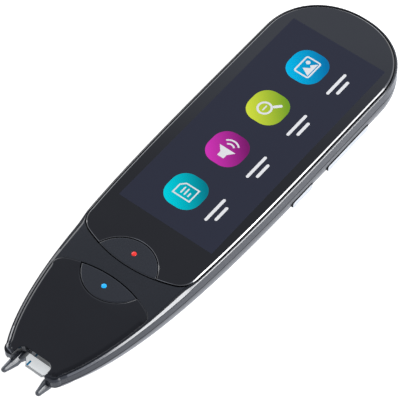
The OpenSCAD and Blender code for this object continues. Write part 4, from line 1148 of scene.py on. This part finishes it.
# %% Tree for the tub: the rule of the outline
TUCK_SIDE, TUCK_END, NOSE_RAKE = 6.0, 5.0, 1.1
at_end = tuck * TUCK_END + extra
at_nose = (belly - z).most(0.0) * NOSE_RAKE + tuck * TUCK_END + extra
y_low = nose + at_nose
y_high = end - at_end
y = y_low + (y_high - y_low) * (1.0 - (along * math.pi).step("COSINE")) * 0.5
y_in = y.most(y_low + corner)
drop = (y_low + corner - y).most(0.0)
cut = corner - (corner * corner - drop * drop).most(0.0).step("SQRT")
past_sides = ((y_in - (end - round_l)) / (round_l - at_end)).within()
past_taper = ((taper_y - y_in) / (taper_l - at_nose)).within()
round_part = (1.0 - past_sides**ROUND_P) ** (1 / ROUND_P)
taper_part = (1.0 - past_taper**TAPER_P) ** (1 / TAPER_ROOT)
width = (half - tuck * TUCK_SIDE - extra) * round_part * taper_part - cut
x = width.most(0.0) * hand * shown
point = node(t, "ShaderNodeCombineXYZ", X=(x * MM).socket, Y=(y * MM).socket, Z=(z * MM).socket)
moved = node(t, "GeometryNodeSetPosition", Geometry=grid.outputs["Mesh"], Position=point.outputs[0])
merged = node(t, "GeometryNodeMergeByDistance", Geometry=moved.outputs[0], Distance=1e-6)
last_steps(t, merged.outputs[0], given["Finish"])

# %% Levels of the tub
WALL = 1.4
COLUMNS, BACK_LEVELS = 261, 24
# a small groove runs round the tub just under the line where the case parts
GROOVE_LOW, GROOVE_MID = PARTING - 0.34, PARTING - 0.28
INNER_LEVELS = (8.5, 7.0, 5.6, 4.4, 3.4, 2.6, 2.0, 1.6, WALL)


def tuck_at(z):
    """How far the housing is drawn in at a height, from 0 to 1."""
    return 0.0 if z >= BELLY else 1 - math.sqrt(max(0.0, 1 - (1 - z / BELLY) ** 2))


levels = [(1.0, 0.0, 0.0)]
for k in range(BACK_LEVELS + 1):
    a = math.radians(90 * k / BACK_LEVELS)
    levels.append((1 - math.sin(a), 0.0, BELLY * (1 - math.cos(a))))
levels += [(0, 0, GROOVE_LOW), (0, 0.05, GROOVE_MID), (0, 0.34, GROOVE_MID), (0, 0.40, PARTING)]
levels += [(0, WALL, PARTING)] + [(tuck_at(z), WALL, z) for z in INNER_LEVELS + (WALL,)]
tub = loose_points("rear_tub", levels)
run_tree(
    tub, tub_tree, 32, Columns=COLUMNS, Rows=len(levels), Half_width=HALF, Rounded_end=END, Nose=NOSE,
    Round_length=ROUND_L, Taper_start=TAPER_Y, Taper_length=TAPER_L, Corner=NOSE_CORNER, Belly=BELLY,
    Finish=case_black,
)
print("tub:", len(tub.data.vertices), "points,", [round(v / MM, 2) for v in tub.dimensions])

# %% [markdown]
# The openings are cut out of the tub by two Booleans. The first cutter holds the two key slots, the
# socket, the camera's seat, the screws' wells, the microphone's hole and the tip's opening. The
# second is the speaker's fifteen small holes, which the repeating tree sets out.

# %% Openings in the tub
KEY_ENDS = {"rocker": (27.4, 44.7), "power": (13.1, 21.6)}
KEY_LOW, KEY_HIGH, KEY_PLAY = 4.3, 6.7, 0.3
KEY_MID, KEY_TALL = (KEY_LOW + KEY_HIGH) / 2, KEY_HIGH - KEY_LOW
USB_Z = 6.38
CAMERA = (-9.4, 51.8)
MICROPHONE = (5.4, 53.9)
SPEAKER_Y, HOLE_STEP = -11.5, 2
# a cutter starts below the back and ends above the inner floor
OUT, THROUGH = -1, 2.4


def swept(loop, low, high, axis):
    """A flat loop drawn out along one axis: "x" takes (y, z), "y" takes (x, z) and "z" takes (x, y)."""
    where = "xyz".index(axis)
    n = len(loop)
    vertices = [(*p[:where], h, *p[where:]) for h in (low, high) for p in loop]
    faces = band(0, n, n)
    for tri in tessellate_polygon([[Vector((*p, 0)) for p in loop]]):
        faces += [tuple(tri[::-1]), tuple(i + n for i in tri)]
    return vertices, faces


tip_cut = [(-6.55, 6.25), (-5.05, 6.25), (-5.05, 3.75), (5.05, 3.75), (5.05, 6.25), (6.55, 6.25)]
tip_cut += [(6.55, 9.9), (-6.55, 9.9)]
cutters = [
    swept(round_box((a + b) / 2, KEY_MID, b - a + KEY_PLAY, KEY_TALL + KEY_PLAY, 0.9, 6), 14.0, 20.5, "x")
    for a, b in KEY_ENDS.values()
]
cutters += [
    swept(round_box(0, USB_Z, 9.44, 3.66, 1.82, 10), 62.5, 71.0, "y"),
    swept(tip_cut, -70.0, -56.9, "y"),
    lathe([(0, OUT), (3.75, OUT), (3.75, 0.9), (2.2, 0.9), (2.2, THROUGH), (0, THROUGH)], 64, *CAMERA),
    tube(0, 0.4, OUT, THROUGH, 20, *MICROPHONE),
]
cutters += [tube(0, 1.5, OUT, 1.5, 40, x, y) for x, y, _ in CASE_SCREWS]
cutter = mesh_object("cutter", *joined(cutters))
hole_profile = [(0, OUT), (0.55, OUT), (0.55, -0.02), (0.45, 0.08), (0.45, THROUGH), (0, THROUGH)]
hole_places = [(HOLE_STEP * i, SPEAKER_Y + HOLE_STEP * j, 0) for i in range(-2, 3) for j in (-1, 0, 1)]
holes = repeated("speaker_hole_cutter", lathe(hole_profile, 20), hole_places, case_black)
for tool in (cutter, holes):
    modifier = tub.modifiers.new("openings", "BOOLEAN")
    modifier.operation, modifier.solver, modifier.object = "DIFFERENCE", "MANIFOLD", tool
plain_copy(tub, 32)
for tool in (cutter, holes):
    bpy.data.objects.remove(tool)
place(tub, "case", "case_black", case_black, "rear_housing")

# %% Posts in the tub
post = lathe([(0.8, 1.5), (1.5, 1.5), (1.5, 1.2), (1.8, 1.2), (1.8, 3.4), (0.8, 3.4)])
place(repeated("housing_posts", post, CASE_SCREWS, case_black), "case", "case_black", case_black)

# %% [markdown]
# ## Keys
# A volume rocker and a power key, both bright metal, stand a little out of the right side. Each is a
# bar with round ends and a softly rounded face, made as a plate that is turned on its side, with the
# broad flange behind the wall that keeps it from falling out. The rocker also has an eye for its pin.

# %% Keys
FLANGE = 0.5
EYE_X, EYE_LOW, EYE_HIGH = 14.889, 4.6, 6.4
# each key: its body, the wall's inner face there, the flange's gap to it, and the key's outer face
KEYS = {
    "rocker": ("volume_rocker", 16.589, 0.25, 19.063),
    "power": ("power_key", 16.493, 0.10, 19.012),
}


def sideways(part):
    """A plate whose own x, y and height become the pen's y, z and x."""
    return [(h, a, b) for a, b, h in part[0]], part[1]


def rocker_eye(back, middle):
    """The eye round the rocker's pin, and the web that joins it to the flange."""
    web = [(15.5, middle - 0.6), (back + 0.1, middle - 0.6), (back + 0.1, middle + 0.6), (15.5, middle + 0.6)]
    return [tube(0.45, 0.75, EYE_LOW, EYE_HIGH, 32, EYE_X, middle), swept(web, EYE_LOW, EYE_HIGH, "z")]


for name, (body, wall_x, gap, front_x) in KEYS.items():
    a, b = KEY_ENDS[name]
    back = wall_x - gap - FLANGE
    middle = (a + b) / 2
    bar = round_box(middle, KEY_MID - 0.12, b - a - 0.3, KEY_TALL - 0.25, 0.85, 8)
    flange = round_box(middle, KEY_MID, b - a + 1.0, KEY_TALL + 1.0, 1.2, 6)
    parts = [plate([bar], back, front_x, 0.30), plate([flange], back, back + FLANGE, 0.08)]
    parts = [sideways(part) for part in parts]
    if name == "rocker":
        parts += rocker_eye(back, middle)
    key = mesh_object(name + "_bar", *joined(parts))
    # the outer face is silver with a painted glow, every other face a near-black painted shade
    split_paint(key, key_painted_shade, key_silver_painted_glow, lambda n, c: n.x > 0.85 and c.x > 18.5)
    place(key, body, "key_metal", None, body)

# %% [markdown]
# ## Tip
# Two claws guide the pen along a line of print, and a white head between them lights it. The claws
# and the bar that joins them slide in together when the tip is pressed down. A claw is a loft: one
# section of eight points, swept forwards, that shrinks and turns up to a blunt point. A ridge along
# its top parts a dark inner face from a lighter outer one.

# %% Guide claws
CLAW = [(-1, -0.75), (-0.75, -1), (0.7, -1), (1, -0.7), (1, 0.15), (0.25, 1), (-0.35, 1), (-1, 0.45)]
CLAW_BACK, CLAW_BEND, CLAW_POINT = -57.0, -64.2, -67.5


def loft(sections):
    """A closed solid through sections with the same number of points."""
    n = len(sections[0])
    vertices = [p for section in sections for p in section]
    faces = []
    for k in range(len(sections) - 1):
        faces += band(k * n, (k + 1) * n, n)
    return vertices, faces + [tuple(range(n)), tuple((len(sections) - 1) * n + i for i in range(n))]


def soften(obj, width, segments):
    """Rounds an object's edges with a Bevel, applied at once."""
    bevel = obj.modifiers.new("soft_edges", "BEVEL")
    bevel.width, bevel.segments = width * MM, segments
    bevel.limit_method, bevel.angle_limit = "ANGLE", math.radians(25)
    plain_copy(obj, 40)


def claw(side):
    """A claw on side 1 or -1, from inside the pen to its blunt point. A station is its y, and the
    middle and half size of its section across and upwards."""
    stations = [(CLAW_BACK, 5.2, 1.2, 7.55, 1.15), (CLAW_BEND, 5.2, 1.2, 7.55, 1.15)]
    for k in range(1, 7):
        u = k / 6
        y = CLAW_BEND + (CLAW_POINT - CLAW_BEND) * u
        stations.append((y, 5.2 + 0.2 * u, 1.2 - 0.5 * u, 7.55 + 0.42 * u, 1.15 - 0.47 * u))
    for k in range(1, 6):
        a = math.radians(84 * k / 5)
        stations.append((CLAW_POINT - 0.75 * math.sin(a), 5.4, 0.70 * math.cos(a), 7.97, 0.68 * math.cos(a)))
    return loft([[(side * (cx + hx * u), y, cz + hz * v) for u, v in CLAW] for y, cx, hx, cz, hz in stations])


carriage = plate([round_box(0, -56.65, 12.7, 4.8, 0.3, 3)], 7.15, 8.65, 0.12)
liner = [(-54.3, 3.95), (-59.7, 3.95), (-63.2, 6.75), (-63.2, 8.6), (-54.3, 8.6)]
liners = [swept(liner, *sorted((side * 4.02, side * 4.9)), "x") for side in (-1, 1)]
claws = mesh_object("guide_claws", *joined([claw(1), claw(-1), carriage] + liners))
soften(claws, 0.10, 2)
place(claws, "scan_tip", "prong_grey", prong_grey, "guide_prongs")

# %% Ribs on the claws
RIB_START, RIB_STEP, RIBS = -61.6, 0.42, 6
rib = plate([round_box(0, 0, 0.95, 0.20, 0.09, 4)], 0.0, 0.07, 0.05)
rib_places = [(side * 5.18, RIB_START - RIB_STEP * k, 8.67) for side in (-1, 1) for k in range(RIBS)]
place(repeated("claw_ribs", rib, rib_places, prong_grey), "scan_tip", "prong_grey", prong_grey)

# %% [markdown]
# ## White head and its mark
# The head is a milky block that spreads the light of two lamps. Its front leans back below a short lip, and
# its front corners are cut off. It is a loft through four outlines, one above the other, with edges rounded
# by a Bevel. Its white has a painted glow, and the front has a darker white with less glow, a painted shade.
# The thin blue line shows where the print has to pass.

# %% White head
HEAD_BACK, HEAD_FRONT, HEAD_TOP_FRONT = -55.6, -63.25, -62.80
HEAD = [(-3.9, HEAD_BACK), (-3.9, -61.4), (-2.55, HEAD_FRONT)]
HEAD += [(-x, y) for x, y in reversed(HEAD)]
top_line = [(x, max(y, HEAD_TOP_FRONT)) for x, y in HEAD]
low_line = [(-3.9, HEAD_BACK), (-3.9, -58.6), (-3.2, -59.7)]
low_line += [(-x, y) for x, y in reversed(low_line)]
outlines = ((low_line, 3.9), (HEAD, 6.6), (HEAD, 6.75), (top_line, 7.1))
head = mesh_object("head_block", *loft([[(*p, z) for p in line] for line, z in outlines]))
soften(head, 0.22, 4)
# the front faces get the painted shade, the rest the white with a painted glow
split_paint(head, head_white_painted_glow, head_front_painted_shade, lambda n, c: n.y < -0.35)
place(head, "scan_tip", "lamp_white", None, "light_head")
mark = mesh_object("head_line", *plate([round_box(-2.275, -62.18, 0.50, 1.5, 0.15, 4)], 7.05, 7.15, 0.03))
place(mark, "scan_tip", "mark_blue", mark_blue, "head_mark")

# %% [markdown]
# ## Back
# Four screws with cross recesses hold the two halves of the case together. They come from the same
# repeating tree, each turned further than the last, because no two screws stop at the same angle.
# The photo camera looks out of the back through a small window in a metal ring.

# %% Case screws
CROSS_IN, CROSS_OUT, CROSS_FLOOR = 0.16, 0.75, 1.05
screw_steel = finish("screw_steel", (0.16, 0.165, 0.175), (0.22, 0.225, 0.235), 0.30, metal=1.0, cloud=300.0)


def flipped(part):
    """A plate turned upside down, for what shows on the back."""
    return [(x, y, -z) for x, y, z in part[0]], part[1]


arm = [(CROSS_IN, CROSS_IN), (CROSS_IN, CROSS_OUT), (-CROSS_IN, CROSS_OUT)]
cross = []
for _ in range(4):
    cross += arm
    arm = [(-y, x) for x, y in arm]
screw = joined([
    flipped(plate([circle(0, 0, 1.3, 40), cross], -1.5, -0.62, [0.14, 0.0])),
    flipped(plate([[(x * CROSS_FLOOR, y * CROSS_FLOOR) for x, y in cross]], -1.45, -1.1, *PLAIN)),
    lathe([(0, 1.4), (0.7, 1.4), (0.7, 6.5), (0.5, 6.7), (0, 6.7)], 24),
])
screws = repeated("case_screw_set", screw, CASE_SCREWS, screw_steel, turn=0.7)
place(screws, "case", "bare_steel", screw_steel, "case_screws")

# %% Camera window and ring
ring_metal = finish("ring_metal", (0.30, 0.31, 0.33), (0.38, 0.39, 0.41), 0.28, metal=1.0, cloud=200.0)
window_glass = finish("window_glass", (0.010, 0.012, 0.020), (0.014, 0.016, 0.026), 0.05, bump=0.0)
ring_part = plate([circle(*CAMERA, 3.7, 90), circle(*CAMERA, 2.72, 90)], -0.9, -0.1, [0.2, 0.12])
place(mesh_object("camera_trim", *flipped(ring_part)), "case", "key_metal", ring_metal, "camera_ring")
window_part = plate([circle(*CAMERA, 2.68, 72)], -0.9, -0.25, 0.15)
window = mesh_object("camera_glass", *flipped(window_part))
place(window, "case", "cover_glass", window_glass, "camera_window")

# %% [markdown]
# ## What lies inside
# The boards, cells, coils and lenses inside the case have the right shape already, so they keep the
# frame's own meshes and only get finishes. Each finish shows what the thing is made of: a board's
# green lacquer over its copper, a flex's amber film, brushed steel, milky lamps and grey foil.

# %% Dark finishes inside
foam = finish("foam_black", (0.014, 0.014, 0.015), (0.022, 0.022, 0.023), 0.85, grain=3.0, bump=0.3,
              cloud=400.0)
film = finish("clear_film", (0.10, 0.11, 0.12), (0.13, 0.14, 0.15), 0.10, cloud=60.0)
panel = finish("panel_glass", (0.016, 0.017, 0.030), (0.020, 0.022, 0.038), 0.08, cloud=90.0)
chip = finish("chip_black", (0.018, 0.018, 0.019), (0.030, 0.030, 0.032), 0.60, grain=2.0, bump=0.2,
              cloud=600.0)
module = finish("module_black", (0.020, 0.020, 0.022), (0.034, 0.034, 0.037), 0.50, cloud=350.0, bump=0.1)
board = finish("board_green", (0.010, 0.12, 0.055), (0.022, 0.20, 0.095), 0.30, cloud=420.0, bump=0.1)
print(len(bpy.data.materials), "materials so far")

# %% Light finishes inside
white_film = finish("white_film", (0.78, 0.78, 0.75), (0.86, 0.86, 0.83), 0.40, cloud=120.0)
steel = finish("brushed_steel", (0.42, 0.43, 0.44), (0.60, 0.61, 0.62), 0.32, cloud=900.0, metal=1.0,
               stretch=(1, 0.05, 1))
flex = finish("flex_amber", (0.36, 0.16, 0.03), (0.50, 0.24, 0.06), 0.35, cloud=500.0)
foil = finish("battery_foil", (0.46, 0.48, 0.50), (0.58, 0.60, 0.62), 0.38, cloud=150.0, bump=0.2, metal=1.0,
              grain=6.0)
lead = finish("lead_red", (0.42, 0.03, 0.02), (0.55, 0.05, 0.04), 0.45, cloud=300.0)
lens_glass = finish("lens_glass", (0.20, 0.30, 0.36), (0.28, 0.40, 0.46), 0.06, bump=0.0, cloud=100.0)
lamp_white = finish("lamp_white", (0.80, 0.81, 0.78), (0.88, 0.89, 0.86), 0.35, cloud=200.0)
print(len(bpy.data.materials), "materials so far")

# %% Which piece gets which
INSIDE = (
    (foam, "glass_tape speaker_gasket battery_pad"),
    (film, "optical_adhesive"),
    (panel, "display_panel"),
    (white_film, "backlight"),
    (steel, "mid_plate dome_switches rocker_pin key_bracket side_switches shield_can wireless_module"),
    (steel, "usb_shell microphone tip_spring board_screws"),
    (flex, "display_flex side_flex link_flex antenna scan_flex"),
    (board, "button_board main_board top_board scan_board"),
    (chip, "processor memory_chip power_chip usb_tongue tip_switch"),
    (foil, "battery"),
    (lead, "battery_lead"),
    (module, "speaker photo_camera scan_barrel"),
    (lens_glass, "scan_lens"),
    (lamp_white, "scan_lamps"),
)
for material, names in INSIDE:
    for name in names.split():
        paint(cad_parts[name], material)
print(sum(len(names.split()) for material, names in INSIDE), "pieces inside have their finish")

# %% [markdown]
# ## Tip spring
# A coil of wire behind the right claw pushes the tip out again. It gets shorter as the tip goes in, which a
# rigid piece can't do. Here it is drawn as a tube along a helix, from end to end of the frame's own spring,
# and it rides on the case.

# %% Tip spring
SPRING_R, WIRE_R, TURNS = 0.80, 0.15, 7
TURN_STEPS, WIRE_SIDES = 14, 8


def coil(low, high, cx, cz):
    """A round wire wound from y = low to y = high about an axis at (cx, cz), with closed ends."""
    count = TURNS * TURN_STEPS
    rise = (high - low - 2 * WIRE_R) / count
    sections = []
    for i in range(count + 1):
        turn = 2 * math.pi * i / TURN_STEPS
        sections.append([])
        for j in range(WIRE_SIDES):
            a = 2 * math.pi * j / WIRE_SIDES
            r = SPRING_R + WIRE_R * math.cos(a)
            y = low + WIRE_R + rise * i + WIRE_R * math.sin(a)
            sections[-1].append((cx + r * math.cos(turn), y, cz + r * math.sin(turn)))
    return loft(sections)


spring_low, spring_high = ([v / MM for v in corner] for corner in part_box("tip_spring"))
spring_x, spring_z = ((spring_low[k] + spring_high[k]) / 2 for k in (0, 2))
spring = mesh_object("tip_coil", *coil(spring_low[1], spring_high[1], spring_x, spring_z), smooth=60)
place(spring, "case", "bare_steel", steel, "tip_spring")
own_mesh(spring)
